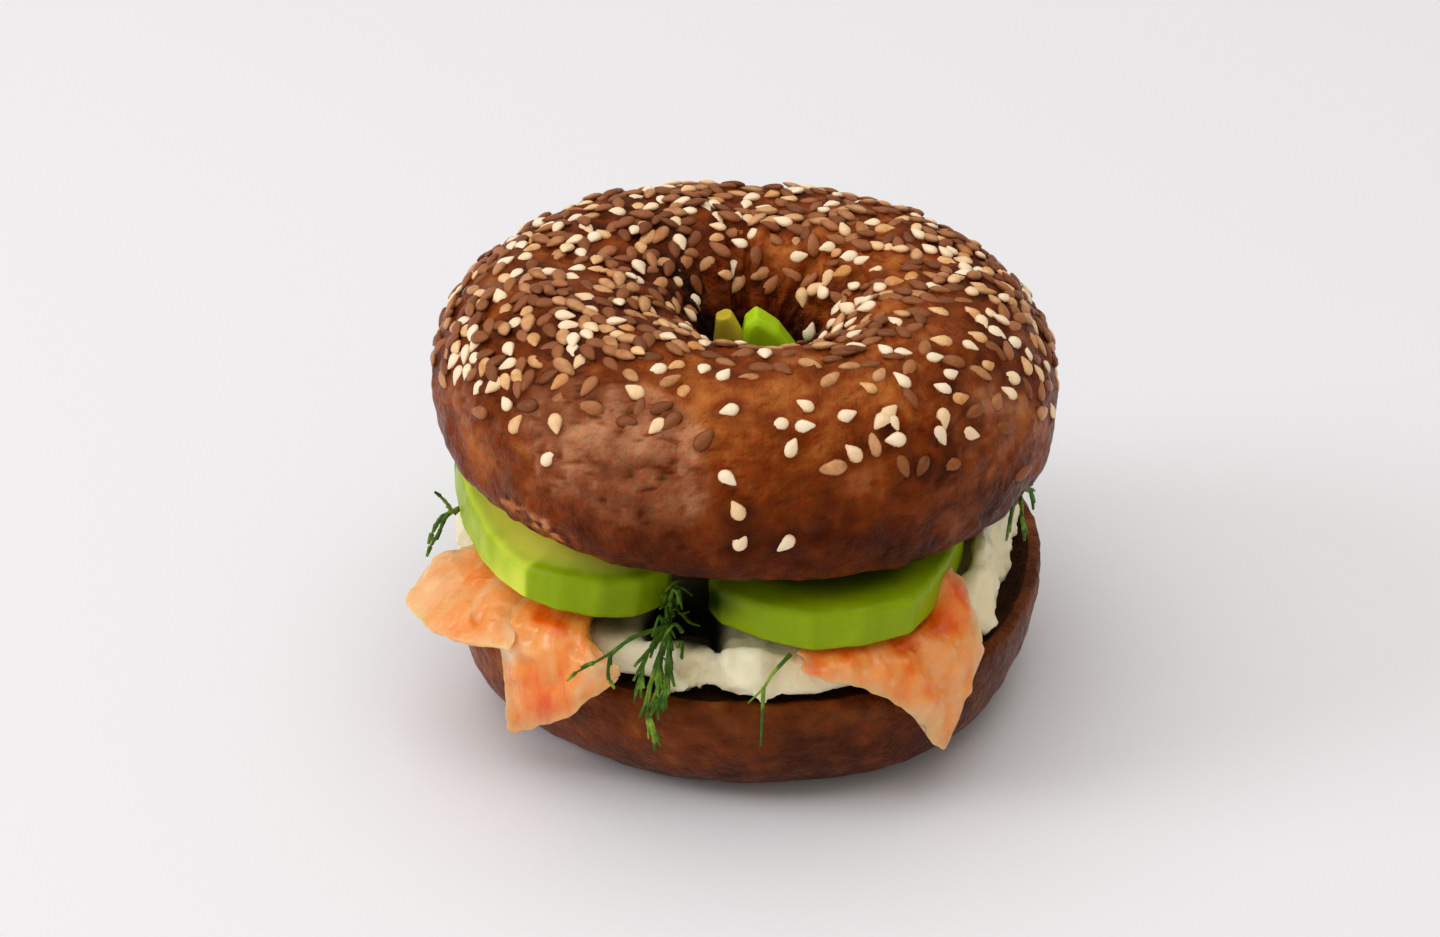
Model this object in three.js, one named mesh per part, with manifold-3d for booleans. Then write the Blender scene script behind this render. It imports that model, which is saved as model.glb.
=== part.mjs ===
// Seeded dark bagel sandwich: a heel and a crown with cream cheese, smoked salmon, avocado and dill between.
// Millimetres, +Z up. Pieces are shaped round the middle of the heel's hole, with the foot at height 0.
// The finished group is then moved so that its origin is the bottom centre of its box.
import * as THREE from "three";
import { mergeVertices } from "three/addons/utils/BufferGeometryUtils.js";
import Module from "manifold-3d";

const wasm = await Module();
wasm.setup();

// Clear space between pieces that touch.
const GAP = 0.35;

// Heel, the lower half of the bagel.
const HEEL_RIM = 51;
const HEEL_HEIGHT = 21.4;
const HEEL_FOOT = 37;
const HEEL_FOOT_HOLE = 15;
const HEEL_HOLE = 10.5;
const HEEL_WALL_POWER = 2.3;
const HEEL_DISH = 1;
// Directions in degrees where its rim swells or is flattened, as shares of its radius.
const HEEL_SWELLS = [
  { at: -52, width: 24, by: 0.035 },
  { at: -6, width: 20, by: -0.014 },
];

// Crown, the upper half: an oval section swept round the hole and cut flat below.
const CROWN_RADIUS = 52.2;
const CROWN_HOLE = 8.9;
const CROWN_RISE = 21;
const CROWN_DROP = 7;
const CROWN_POWER = 2.25;
const CROWN_MIDDLE = 52;
const CROWN_TILT = 2.6;
const CROWN_ASIDE = -1;
const HOLE_ASIDE = 2.3;

// Seeds, half of them sesame and half flax.
const SESAME = { length: 3.5, width: 2.2, thickness: 1.3 };
const FLAX = { length: 4.6, width: 2.3, thickness: 1.4 };
const SEED_COUNT = 150;
const SEED_TRIES = 14;
// The turns of the crown's section between which seeds lie.
const SEED_TURNS = { from: -4, to: 160 };
// How far a seed's middle stands over the crust, as a share of its thickness.
const SEED_RISE = 0.12;
// A seed's width at its tip and at its base, against its width in the middle.
const SEED_TAPER = { tip: 0.68, base: 1.1 };

// Cream cheese, spread over the cut face of the heel and standing high on the right.
const CREAM_EDGE = 48;
const CREAM_TOP = 30.8;
const CREAM_UNDER_SALMON = 28.1;
const CREAM_RIDGE = 41;
// Outside the salmon's edge the ridge starts this much lower.
const CREAM_RIDGE_STEP = 3.4;

// Smoked salmon, thin slices laid on the cream and hanging over its edge.
const SALMON_THICKNESS = 2.1;
const SALMON_LEVEL = 29.6;

// Avocado slices, flat with a knife-cut rim.
const AVOCADO_BOTTOM = 31.2;
const AVOCADO_THICKNESS = 8.8;
const AVOCADO_BEVEL = 0.7;
const STANDING_BEVEL = 0.8;

// Dill threads.
const DILL_STEM = 0.55;
const DILL_THREAD = 0.42;

// Finishes, by colour and roughness.
const FINISH = {
  crust: new THREE.MeshStandardMaterial({ color: 0x77391a, roughness: 0.45, metalness: 0 }),
  heelCrust: new THREE.MeshStandardMaterial({ color: 0x4b2a12, roughness: 0.55, metalness: 0 }),
  cream: new THREE.MeshStandardMaterial({ color: 0xe6dcc0, roughness: 0.5, metalness: 0 }),
  salmon: new THREE.MeshStandardMaterial({ color: 0xf0985a, roughness: 0.35, metalness: 0 }),
  avocado: new THREE.MeshStandardMaterial({ color: 0x93a81f, roughness: 0.45, metalness: 0 }),
  dill: new THREE.MeshStandardMaterial({ color: 0x2c5320, roughness: 0.6, metalness: 0 }),
};

const radians = THREE.MathUtils.degToRad;
const lerp = THREE.MathUtils.lerp;
const smooth = THREE.MathUtils.smoothstep;

// Degrees between two directions, at most 180.
function apart(a, b) {
  const turn = (((a - b) % 360) + 540) % 360;
  return Math.abs(turn - 180);
}

// A soft hump over directions in degrees: 1 at the centre, almost gone at twice the width.
function hump(direction, centre, width) {
  return Math.exp(-((apart(direction, centre) / width) ** 2));
}

// Position from a direction in degrees, a distance from the middle and a height.
function polar(direction, radius, height) {
  const a = radians(direction);
  return new THREE.Vector3(radius * Math.cos(a), radius * Math.sin(a), height);
}

// The same draw of numbers between 0 and 1 every time.
function seededRandom(seed) {
  let state = seed;
  return () => {
    state = (state + 0x6d2b79f5) | 0;
    let t = Math.imul(state ^ (state >>> 15), 1 | state);
    t = (t + Math.imul(t ^ (t >>> 7), 61 | t)) ^ t;
    return ((t ^ (t >>> 14)) >>> 0) / 4294967296;
  };
}

// Closed geometry as a solid that can be joined.
function solidFrom(geometry) {
  const bare = geometry.clone();
  bare.deleteAttribute("normal");
  bare.deleteAttribute("uv");
  const merged = mergeVertices(bare, 1e-4);
  const mesh = new wasm.Mesh({
    numProp: 3,
    vertProperties: merged.attributes.position.array,
    triVerts: new Uint32Array(merged.index.array),
  });
  return new wasm.Manifold(mesh);
}

// Geometries joined into one body. Loose scraps and sealed hollows are smaller bodies, which are dropped.
function joined(geometries) {
  const whole = geometries.map(solidFrom).reduce((sum, solid) => sum.add(solid));
  const bodies = whole.decompose();
  const largest = bodies.reduce((a, b) => (b.volume() > a.volume() ? b : a));
  const mesh = largest.getMesh();
  const geometry = new THREE.BufferGeometry();
  geometry.setAttribute("position", new THREE.BufferAttribute(mesh.vertProperties, 3));
  geometry.setIndex(new THREE.BufferAttribute(mesh.triVerts, 1));
  geometry.computeVertexNormals();
  return geometry;
}

// Moves each vertex of a geometry by a function of its own position.
function reshape(geometry, move) {
  const position = geometry.attributes.position;
  const point = new THREE.Vector3();
  for (let i = 0; i < position.count; i++) {
    point.fromBufferAttribute(position, i);
    const moved = move(point);
    position.setXYZ(i, moved.x, moved.y, moved.z);
  }
  geometry.computeVertexNormals();
  return geometry;
}

// A profile of [radius, height] points turned round the vertical axis.
function turned(profile, segments) {
  const points = profile.map(([radius, height]) => new THREE.Vector2(radius, height));
  return new THREE.LatheGeometry(points, segments).rotateX(Math.PI / 2);
}

// A thin slice over a grid: place(u, v) gives its middle, and both faces are split into triangles alike.
function thinSlice(uSteps, vSteps, place, thicknessAt) {
  const points = [];
  const step = 1e-3;
  for (const side of [1, -1]) {
    for (let i = 0; i <= uSteps; i++) {
      for (let j = 0; j <= vSteps; j++) {
        const u = i / uSteps;
        const v = j / vSteps;
        const middle = place(u, v);
        const along = place(u + step, v).sub(place(u - step, v));
        const across = place(u, v + step).sub(place(u, v - step));
        const normal = along.cross(across).normalize();
        points.push(middle.addScaledVector(normal, (side * thicknessAt(u, v)) / 2));
      }
    }
  }
  const row = vSteps + 1;
  const back = row * (uSteps + 1);
  const faces = [];
  const quad = (a, b, c, d) => faces.push(a, b, c, a, c, d);
  for (let i = 0; i < uSteps; i++) {
    for (let j = 0; j < vSteps; j++) {
      const a = i * row + j;
      faces.push(a, a + row, a + row + 1, a, a + row + 1, a + 1);
      faces.push(back + a, back + a + row + 1, back + a + row, back + a, back + a + 1, back + a + row + 1);
    }
  }
  for (let i = 0; i < uSteps; i++) {
    const low = i * row;
    const high = low + vSteps;
    quad(low, low + back, low + row + back, low + row);
    quad(high, high + row, high + row + back, high + back);
  }
  for (let j = 0; j < vSteps; j++) {
    const far = uSteps * row + j;
    quad(j, j + 1, j + 1 + back, j + back);
    quad(far, far + back, far + 1 + back, far + 1);
  }
  const geometry = new THREE.BufferGeometry().setFromPoints(points);
  geometry.setIndex(faces);
  geometry.computeVertexNormals();
  return geometry;
}

// Heel: how far its rim swells in a direction, against a true circle.
function heelSwell(direction) {
  const uneven = 0.006 * Math.sin(radians(3 * direction + 20)) + 0.004 * Math.sin(radians(5 * direction));
  return HEEL_SWELLS.reduce((sum, swell) => sum + swell.by * hump(direction, swell.at, swell.width), 1 + uneven);
}

function heelRim(direction) {
  return HEEL_RIM * heelSwell(direction);
}

// The cut face of the heel is dished: level in the middle, rising to the rim.
const DISH_EDGE = HEEL_RIM - 4;
const LIP_EDGE = HEEL_RIM - 1.6;
// The wall ends this far below the lip, which leaves a narrow chamfer.
const LIP_CHAMFER = 0.3;

function heelFace(direction, radius) {
  const rise = (radius / heelSwell(direction) - DISH_EDGE) / (LIP_EDGE - DISH_EDGE);
  return HEEL_HEIGHT - HEEL_DISH * (1 - THREE.MathUtils.clamp(rise, 0, 1));
}

function makeHeel() {
  const wallSteps = 6;
  const wall = [];
  for (let i = 0; i <= wallSteps; i++) {
    const a = (i / wallSteps) * (Math.PI / 2);
    const out = Math.sin(a) ** (2 / HEEL_WALL_POWER);
    const up = 1 - Math.cos(a) ** (2 / HEEL_WALL_POWER);
    wall.push([lerp(HEEL_FOOT, HEEL_RIM, out), (HEEL_HEIGHT - LIP_CHAMFER) * up]);
  }
  const dish = HEEL_HEIGHT - HEEL_DISH;
  const cutFace = [
    [LIP_EDGE, HEEL_HEIGHT],
    [DISH_EDGE, dish],
    [HEEL_HOLE + 1.5, dish],
  ];
  const holeWall = [
    [HEEL_HOLE, dish - 2],
    [HEEL_HOLE - 0.5, HEEL_HEIGHT / 2],
    [HEEL_HOLE + 1.2, 4],
    [HEEL_FOOT_HOLE, 0],
  ];
  const profile = [...wall, ...cutFace, ...holeWall, wall[0]];
  const geometry = turned(profile, 48);
  return reshape(geometry, (p) => {
    const direction = THREE.MathUtils.radToDeg(Math.atan2(p.y, p.x));
    const swell = heelSwell(direction);
    return p.set(p.x * swell, p.y * swell, p.z);
  });
}

// Crown: a point of its crust for a direction round the hole and a turn round the section, both in degrees.
// The turn is 0 at the widest place outside, 90 on the crest and 180 at the narrowest place of the hole.
const SECTION_MIDDLE = (CROWN_RADIUS + CROWN_HOLE) / 2;
const SECTION_HALF = (CROWN_RADIUS - CROWN_HOLE) / 2;
// The crust curls in a little before the cut.
const CUT_ROUNDING = 2.2;
const CUT_CURL = 1.2;
const cutShare = (CROWN_DROP - CUT_CURL) / CROWN_RISE;
const CUT_TURN = -THREE.MathUtils.radToDeg(Math.asin(cutShare ** (CROWN_POWER / 2)));

function crownSection(turn) {
  const c = Math.cos(radians(turn));
  const s = Math.sin(radians(turn));
  const out = Math.sign(c) * Math.abs(c) ** (2 / CROWN_POWER);
  const up = Math.sign(s) * Math.abs(s) ** (2 / CROWN_POWER);
  return [SECTION_MIDDLE + SECTION_HALF * out, CROWN_RISE * up];
}

// Where the crest of the crown sits lower and its side further in than elsewhere, as shares of its sizes.
const CROWN_DENTS = [
  { at: 162, width: 22, lower: 0.06, narrower: 0.009 },
  { at: 18, width: 22, lower: 0.05, narrower: 0.008 },
  { at: 90, width: 40, lower: 0.025, narrower: 0 },
  { at: -88, width: 40, lower: 0.035, narrower: 0 },
];

function crownShape(p) {
  const direction = THREE.MathUtils.radToDeg(Math.atan2(p.y, p.x));
  const radius = Math.hypot(p.x, p.y);
  const inward = (CROWN_RADIUS - radius) / (2 * SECTION_HALF);
  const wave = 0.004 * Math.sin(radians(3 * direction + 70)) + 0.004 * Math.sin(radians(5 * direction - 40));
  let lift = 1;
  let spread = 1 + wave;
  for (const dent of CROWN_DENTS) {
    const share = hump(direction, dent.at, dent.width);
    lift -= p.z > 0 ? dent.lower * share : 0;
    spread -= dent.narrower * share;
  }
  return p.set(p.x * spread + HOLE_ASIDE * Math.max(0, inward), p.y * spread, p.z * lift);
}

function crownPoint(direction, turn) {
  const [radius, height] = crownSection(turn);
  return crownShape(polar(direction, radius, height));
}

function crownNormal(direction, turn) {
  const step = 0.5;
  const round = crownPoint(direction + step, turn).sub(crownPoint(direction - step, turn));
  const over = crownPoint(direction, turn + step).sub(crownPoint(direction, turn - step));
  return round.cross(over).normalize();
}

// How closely the seeds lie, from 0 to 1: thick on the top, the left, the back and the right, thin low in front.
function seedShare(direction, turn) {
  const front = hump(direction, -88, 52);
  const lowest = lerp(4, 48, front);
  const crust = smooth(turn, lowest - 14, lowest + 16);
  const hole = 1 - smooth(turn, 128, 158);
  const stray = 0.07 * smooth(turn, 0, 12);
  return Math.max(crust * hole, stray * hole);
}

function seed(size, middle, normal, spin) {
  const geometry = new THREE.SphereGeometry(1, 5, 3);
  reshape(geometry, (p) => {
    const taper = p.y > 0 ? SEED_TAPER.tip : SEED_TAPER.base;
    return p.set((p.x * taper * size.width) / 2, (p.y * size.length) / 2, (p.z * size.thickness) / 2);
  });
  const side = new THREE.Vector3(0, 0, 1).cross(normal).normalize();
  const along = side.clone().applyAxisAngle(normal, spin);
  const across = along.clone().cross(normal);
  const place = new THREE.Matrix4().makeBasis(across, along, normal);
  place.setPosition(middle.clone().addScaledVector(normal, size.thickness * SEED_RISE));
  return geometry.applyMatrix4(place);
}

// Each seed takes the loneliest of a few drawn places, so they spread evenly and seldom lie on each other.
function crownSeeds() {
  const random = seededRandom(41);
  const seeds = [];
  const taken = [];
  while (seeds.length < SEED_COUNT) {
    let best = null;
    for (let i = 0; i < SEED_TRIES; i++) {
      const direction = 360 * random();
      const turn = lerp(SEED_TURNS.from, SEED_TURNS.to, random());
      const radius = crownSection(turn)[0];
      if (random() > (seedShare(direction, turn) * radius) / CROWN_RADIUS) continue;
      const point = crownPoint(direction, turn);
      const room = Math.min(...taken.map((other) => other.distanceTo(point)));
      if (!best || room > best.room) best = { direction, turn, point, room };
    }
    if (!best) continue;
    const size = seeds.length % 2 ? FLAX : SESAME;
    const normal = crownNormal(best.direction, best.turn);
    seeds.push(seed(size, best.point, normal, Math.PI * random()));
    taken.push(best.point);
  }
  return seeds;
}

function makeCrown() {
  const sectionSteps = 16;
  const profile = [];
  for (let i = 0; i <= sectionSteps; i++) {
    profile.push(crownSection(lerp(CUT_TURN, 180 - CUT_TURN, i / sectionSteps)));
  }
  const cutHalf = SECTION_HALF - CUT_ROUNDING;
  profile.push([SECTION_MIDDLE - cutHalf, -CROWN_DROP], [SECTION_MIDDLE + cutHalf, -CROWN_DROP], profile[0]);
  const ring = reshape(turned(profile, 52), crownShape);
  return joined([ring, ...crownSeeds()]);
}

// Cream cheese: directions in degrees and radii where its lumpy edge swells or falls back.
const CREAM_LUMPS = [
  { at: -117, width: 6, out: 2 },
  { at: -101, width: 5, out: -2.4 },
  { at: -93, width: 4, out: 2.4 },
  { at: -76, width: 13, out: 3.6 },
  { at: -38, width: 6, out: 2.2 },
  { at: -22, width: 9, out: -2.8 },
  { at: -4, width: 16, out: -1.8 },
  { at: 176, width: 12, out: 1.4 },
];
// The directions that salmon covers, where the cream lies lower and further in.
const COVER = {
  leftFlap: { from: -163, to: -140 },
  leftFront: { from: -137, to: -112.5 },
  right: { from: -81, to: -47 },
  back: { from: 98, to: 140 },
};

function creamCovered(direction) {
  const covers = Object.values(COVER).map(({ from, to }) => {
    const before = apart(direction, from) < apart(direction, to);
    const outside = direction > from && direction < to ? 0 : apart(direction, before ? from : to);
    return 1 - smooth(outside, 1.5, 5);
  });
  return Math.max(...covers);
}

function creamEdge(direction) {
  const lumps = CREAM_LUMPS.reduce((sum, l) => sum + l.out * hump(direction, l.at, l.width), 0);
  const ripple = 0.5 * Math.sin(radians(11 * direction)) + 0.35 * Math.sin(radians(17 * direction + 50));
  return CREAM_EDGE + lumps + ripple - 0.8 * creamCovered(direction);
}

function creamHeight(direction) {
  const ridge = smooth(direction, -42.5, -36) * (1 - smooth(direction, 14, 34));
  const left = 0.5 * hump(direction, 178, 12);
  const low = lerp(CREAM_TOP + left, CREAM_UNDER_SALMON, creamCovered(direction));
  const ripple = 0.3 * (1 - creamCovered(direction)) * Math.sin(radians(9 * direction));
  const crest = CREAM_RIDGE - CREAM_RIDGE_STEP * (1 - smooth(direction, -34, -24));
  return lerp(low, crest, ridge) + ripple;
}

function makeCream() {
  const segments = 60;
  // Each ring of the edge: how far inside it runs, and its height from the lip (0) to the top (1).
  const rings = [
    { inside: 0.7, height: 0 },
    { inside: 0, height: 0.09 },
    { inside: 0.4, height: 0.45 },
    { inside: 1.3, height: 0.8 },
    { inside: 2.4, height: 1 },
    { inside: 3.6, height: 0.94 },
  ];
  // Marks in place of a height: the flat under side, and the hidden level top inside the rings.
  const underneath = -1;
  const hidden = 2;
  // The under side is measured a little further out than the edge, where the dish of the heel is highest.
  const lipReach = 2.4;
  const profile = [
    [0, underneath],
    [CREAM_EDGE - 5.4, underneath],
    ...rings.map((ring) => [CREAM_EDGE - ring.inside, ring.height]),
    [CREAM_EDGE - 4.2, hidden],
    [0, hidden],
  ];
  return reshape(turned(profile, segments), (p) => {
    const radius = Math.hypot(p.x, p.y);
    const direction = THREE.MathUtils.radToDeg(Math.atan2(p.y, p.x));
    const out = radius < 1 ? 0 : creamEdge(direction) - (CREAM_EDGE - radius);
    const level = heelFace(direction, 0) + GAP;
    const lip = heelFace(direction, out + lipReach) + GAP;
    if (p.z < underneath / 2) return polar(direction, out, level);
    if (p.z > hidden - 0.5) return polar(direction, out, CREAM_UNDER_SALMON);
    return polar(direction, out, lerp(lip, creamHeight(direction), p.z));
  });
}

// Salmon: a slice lies flat on the cream, bends over the edge and hangs. For each direction, bend is the angle
// that it turns down through, bendAt is where the bend starts and hang is the length of slice past that.
// narrow says how many degrees its hidden end is narrower than its free edge, on each side.
function salmonSlice({ cover, bend, radius, bendAt, hang, start, ruffle, narrow = [0, 0] }) {
  const place = (u, v) => {
    const spread = lerp(cover.from, cover.to, v);
    const tuck = 1 - smooth(u, 0, 0.75);
    const direction = spread + tuck * (narrow[0] * (1 - v) - narrow[1] * v);
    const bendAngle = radians(bend(spread));
    const inner = bendAt(spread);
    const flat = inner - start;
    const s = u * (flat + hang(spread));
    let out = start + s;
    let height = SALMON_LEVEL;
    if (s > flat) {
      const a = Math.min((s - flat) / radius, bendAngle);
      const rest = Math.max(0, s - flat - radius * bendAngle);
      out = inner + radius * Math.sin(a) + rest * Math.cos(bendAngle);
      height = SALMON_LEVEL - radius * (1 - Math.cos(a)) - rest * Math.sin(bendAngle);
    }
    const free = smooth(u, 0.45, 1);
    const wave = ruffle * free * (0.5 + 0.5 * Math.sin(radians(spread * 19)));
    return polar(direction, out + wave, height + 0.4 * wave);
  };
  const thicknessAt = (u, v) => {
    const edge = Math.min(1 - u, v, 1 - v);
    return SALMON_THICKNESS * lerp(0.5, 1, smooth(edge, 0, 0.2));
  };
  return thinSlice(8, 8, place, thicknessAt);
}

// A measure that runs through given values at given directions.
function along(marks) {
  return (direction) => {
    const last = marks.length - 1;
    const i = Math.min(last - 1, Math.max(0, marks.findIndex(([at]) => at > direction) - 1));
    if (direction >= marks[last][0]) return marks[last][1];
    const [a, low] = marks[i];
    const [b, high] = marks[i + 1];
    return lerp(low, high, THREE.MathUtils.clamp((direction - a) / (b - a), 0, 1));
  };
}

const hangRadius = (direction) => heelRim(direction) + GAP + SALMON_THICKNESS / 2;

function makeSalmonLeftFlap() {
  return salmonSlice({
    cover: COVER.leftFlap,
    bend: along([[-157, 19], [-140, 36]]),
    radius: 14,
    start: 38,
    bendAt: () => 46,
    hang: along([[-163, 8], [-160, 12.6], [-157.2, 17], [-151.5, 16.8], [-146, 15.4], [-140, 12.6]]),
    ruffle: 1,
  });
}

function makeSalmonLeftFront() {
  return salmonSlice({
    cover: COVER.leftFront,
    bend: () => 90,
    radius: 5,
    start: 36,
    bendAt: (direction) => hangRadius(direction) - 4.2,
    hang: along([[-137, 24], [-134, 22.4], [-130, 21.4], [-121, 15.4], [-115, 9.8], [-112.5, 7]]),
    ruffle: 1.1,
    narrow: [0, 13],
  });
}

function makeSalmonRight() {
  return salmonSlice({
    cover: COVER.right,
    bend: () => 90,
    radius: 5,
    start: 40,
    bendAt: (direction) => hangRadius(direction) - 5,
    hang: along([[-81, 3.6], [-76, 6], [-70, 8], [-63, 12], [-57, 20], [-51.3, 24.6], [-47, 14]]),
    ruffle: 1.2,
  });
}

function makeSalmonBack() {
  return salmonSlice({
    cover: COVER.back,
    bend: () => 82,
    radius: 6,
    start: 38,
    bendAt: (direction) => hangRadius(direction) - 5.4,
    hang: along([[98, 8], [108, 15], [122, 18], [132, 13], [140, 7]]),
    ruffle: 1.2,
  });
}

// Avocado: an outline of [x, y] corners, with round stretches drawn as splines and knife facets as straight lines.
function avocadoSlice(rim, hollow) {
  const outline = new THREE.Shape();
  const points = [...rim, ...hollow].map(([x, y]) => new THREE.Vector2(x, y));
  outline.moveTo(points[0].x, points[0].y);
  for (const point of points.slice(1, rim.length)) outline.lineTo(point.x, point.y);
  outline.splineThru([...points.slice(rim.length), points[0]]);
  const geometry = new THREE.ExtrudeGeometry(outline, {
    depth: AVOCADO_THICKNESS - 2 * AVOCADO_BEVEL,
    bevelThickness: AVOCADO_BEVEL,
    bevelSize: AVOCADO_BEVEL,
    bevelOffset: -AVOCADO_BEVEL,
    bevelSegments: 1,
    curveSegments: 3,
  });
  return geometry.translate(0, 0, AVOCADO_BEVEL);
}

const AVOCADO_LEFT_RIM = [
  [-50.4, 12],
  [-51.2, 4],
  [-50.4, -5],
  [-48.4, -15],
  [-44.8, -25.4],
  [-41.4, -31.8],
  [-37, -37.4],
  [-31.6, -40.8],
  [-25, -42],
  [-18.6, -40.8],
  [-14, -36.6],
  [-13, -32],
];
const AVOCADO_LEFT_HOLLOW = [
  [-18, -20],
  [-30, -2],
  [-40, 13],
  [-46, 15],
];
const AVOCADO_RIGHT_RIM = [
  [-7, -39],
  [-5, -43],
  [2, -47.4],
  [9.5, -50],
  [17.6, -49],
  [25.4, -45.6],
  [28.4, -41.2],
  [31.8, -34.2],
  [34.8, -26],
  [35.6, -18.5],
];
const AVOCADO_RIGHT_HOLLOW = [
  [34, -13],
  [22, -17],
  [6, -25],
];
const AVOCADO_BACK_RIM = [
  [36.5, 8],
  [37.5, 18],
  [34, 29],
  [27, 37.5],
  [17, 43],
  [7, 45.4],
  [-3, 44],
];
const AVOCADO_BACK_HOLLOW = [
  [-7, 38],
  [2, 26],
  [16, 20],
  [29, 6],
];
const AVOCADO_BACK_LEFT_RIM = [
  [-8, 45],
  [-18, 44.5],
  [-28, 40],
  [-36, 33],
  [-42, 24],
];
const AVOCADO_BACK_LEFT_HOLLOW = [
  [-38, 18],
  [-26, 20],
  [-16, 29],
];

// Avocado standing in the hole: a piece with a peak, seen above the lip, and a thin browned strip beside it.
function standingPiece(outlinePoints, thickness, y) {
  const outline = new THREE.Shape(outlinePoints.map(([x, z]) => new THREE.Vector2(x, z)));
  const geometry = new THREE.ExtrudeGeometry(outline, {
    depth: thickness - 2 * STANDING_BEVEL,
    bevelThickness: STANDING_BEVEL,
    bevelSize: STANDING_BEVEL,
    bevelOffset: -STANDING_BEVEL,
    bevelSegments: 1,
  });
  return geometry.rotateX(Math.PI / 2).translate(0, y + thickness - STANDING_BEVEL, 0);
}

const CENTRE_PIECE = [
  [-1, 33],
  [7, 33],
  [8, 50],
  [7.2, 57.5],
  [4.6, 62],
  [1.4, 64.8],
  [-0.2, 63],
  [-1.2, 57],
];
const CENTRE_STRIP = [
  [-6.2, 33],
  [-1.6, 33],
  [-1.8, 60],
  [-3.4, 63.6],
  [-4.6, 65.2],
  [-5.8, 63.6],
  [-6.3, 58],
];

// Dill: threads along smooth curves, joined into one sprig.
function thread(points, thickness, steps) {
  const section = new THREE.Shape();
  section.moveTo(thickness, 0);
  section.lineTo(0, thickness);
  section.lineTo(-thickness, 0);
  section.lineTo(0, -thickness);
  return new THREE.ExtrudeGeometry(section, {
    steps,
    bevelEnabled: false,
    extrudePath: new THREE.CatmullRomCurve3(points),
  });
}

// A sprig from its stem and side threads, each a list of [direction, radius, height].
function sprig(stem, sides) {
  const points = (list) => list.map(([direction, radius, height]) => polar(direction, radius, height));
  const threads = sides.map((side) => thread(points(side), DILL_THREAD, 2));
  return joined([thread(points(stem), DILL_STEM, 5), ...threads]);
}

function makeDillCentre() {
  const bend = [-106.4, 47, 33.2];
  const fork = [-106.8, 50.6, 29.5];
  const low = [-108, 53.1, 23.6];
  const twig = [-115, 55.2, 30.5];
  return sprig([[-109, 40.6, 32.6], bend, fork, low, [-107.6, 53, 14]], [
    [bend, [-103.6, 51.4, 29.6], [-103.2, 52.6, 24.5]],
    [fork, [-104.6, 52.4, 28], [-104.4, 52.8, 26]],
    [fork, [-109.6, 52.2, 28], [-110, 53, 24.8]],
    [low, [-105.6, 53.2, 21.5], [-105.4, 53.2, 19]],
    [low, [-109.8, 53.6, 20.5], [-109.4, 53.6, 17]],
    [bend, [-111, 52, 33.2], twig, [-120.5, 56.6, 26.6]],
    [twig, [-114.2, 56, 28.5], [-113, 56.2, 26.8]],
  ]);
}

function makeDillThread() {
  const fork = [-88, 53, 26.6];
  return sprig([[-83, 50.6, 31.2], [-86.4, 52.6, 29], fork, [-90.6, 53.3, 24]], [
    [fork, [-88.2, 53.3, 21], [-88.4, 53.2, 15.6]],
  ]);
}

function makeDillLeft() {
  const rise = [-170.5, 51.2, 32.4];
  const fork = [-169.6, 53.4, 29.4];
  return sprig([[-174, 44.6, 32.7], rise, fork, [-169.6, 55.6, 24.6]], [
    [rise, [-169, 51.8, 34.6], [-169, 53.4, 37]],
    [rise, [-172.4, 53.2, 30], [-173, 54.8, 26.4]],
    [fork, [-168.2, 54, 28.2], [-167.4, 54.6, 27.2]],
    [fork, [-171, 55.6, 26.6], [-171.4, 56.6, 24.6]],
  ]);
}

function makeDillRight() {
  const bend = [-17, 47, 40];
  const fork = [-20.4, 48.2, 37];
  return sprig([[-12, 45.4, 41], bend, fork, [-19, 48.6, 33.2]], [
    [bend, [-24, 47.4, 40], [-27.4, 48, 37.6]],
    [bend, [-13.6, 48.2, 38.6], [-11.6, 48.6, 36]],
    [fork, [-24.6, 48.6, 36.8], [-26.4, 48.8, 34.2]],
    [fork, [-16, 48.6, 35.4], [-14.6, 48.6, 32.6]],
  ]);
}

const sandwich = new THREE.Group();

function addPiece(name, geometry, finish) {
  const mesh = new THREE.Mesh(geometry, finish.clone());
  mesh.name = name;
  sandwich.add(mesh);
  return mesh;
}

addPiece("heel", makeHeel(), FINISH.heelCrust);
addPiece("cream_cheese", makeCream(), FINISH.cream);
addPiece("salmon_left_flap", makeSalmonLeftFlap(), FINISH.salmon);
addPiece("salmon_left_front", makeSalmonLeftFront(), FINISH.salmon);
addPiece("salmon_right", makeSalmonRight(), FINISH.salmon);
addPiece("salmon_back", makeSalmonBack(), FINISH.salmon);

// Each avocado slice rests at its own height, tipped a little towards the crown.
const slices = [
  { name: "avocado_left", rim: AVOCADO_LEFT_RIM, hollow: AVOCADO_LEFT_HOLLOW, tip: [0, 6.8], pivot: [-17, -41] },
  { name: "avocado_right", rim: AVOCADO_RIGHT_RIM, hollow: AVOCADO_RIGHT_HOLLOW, tip: [3, 0], pivot: [10, -50] },
  { name: "avocado_back", rim: AVOCADO_BACK_RIM, hollow: AVOCADO_BACK_HOLLOW, tip: [-2.4, 0], pivot: [10, 45] },
  { name: "avocado_back_left", rim: AVOCADO_BACK_LEFT_RIM, hollow: AVOCADO_BACK_LEFT_HOLLOW, tip: [-4, 3], pivot: [-12, 45] },
];
for (const slice of slices) {
  const [x, y] = slice.pivot;
  const geometry = avocadoSlice(slice.rim, slice.hollow).translate(-x, -y, 0);
  const mesh = addPiece(slice.name, geometry, FINISH.avocado);
  mesh.position.set(x, y, AVOCADO_BOTTOM);
  mesh.rotation.set(radians(slice.tip[0]), radians(slice.tip[1]), 0);
}
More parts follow.
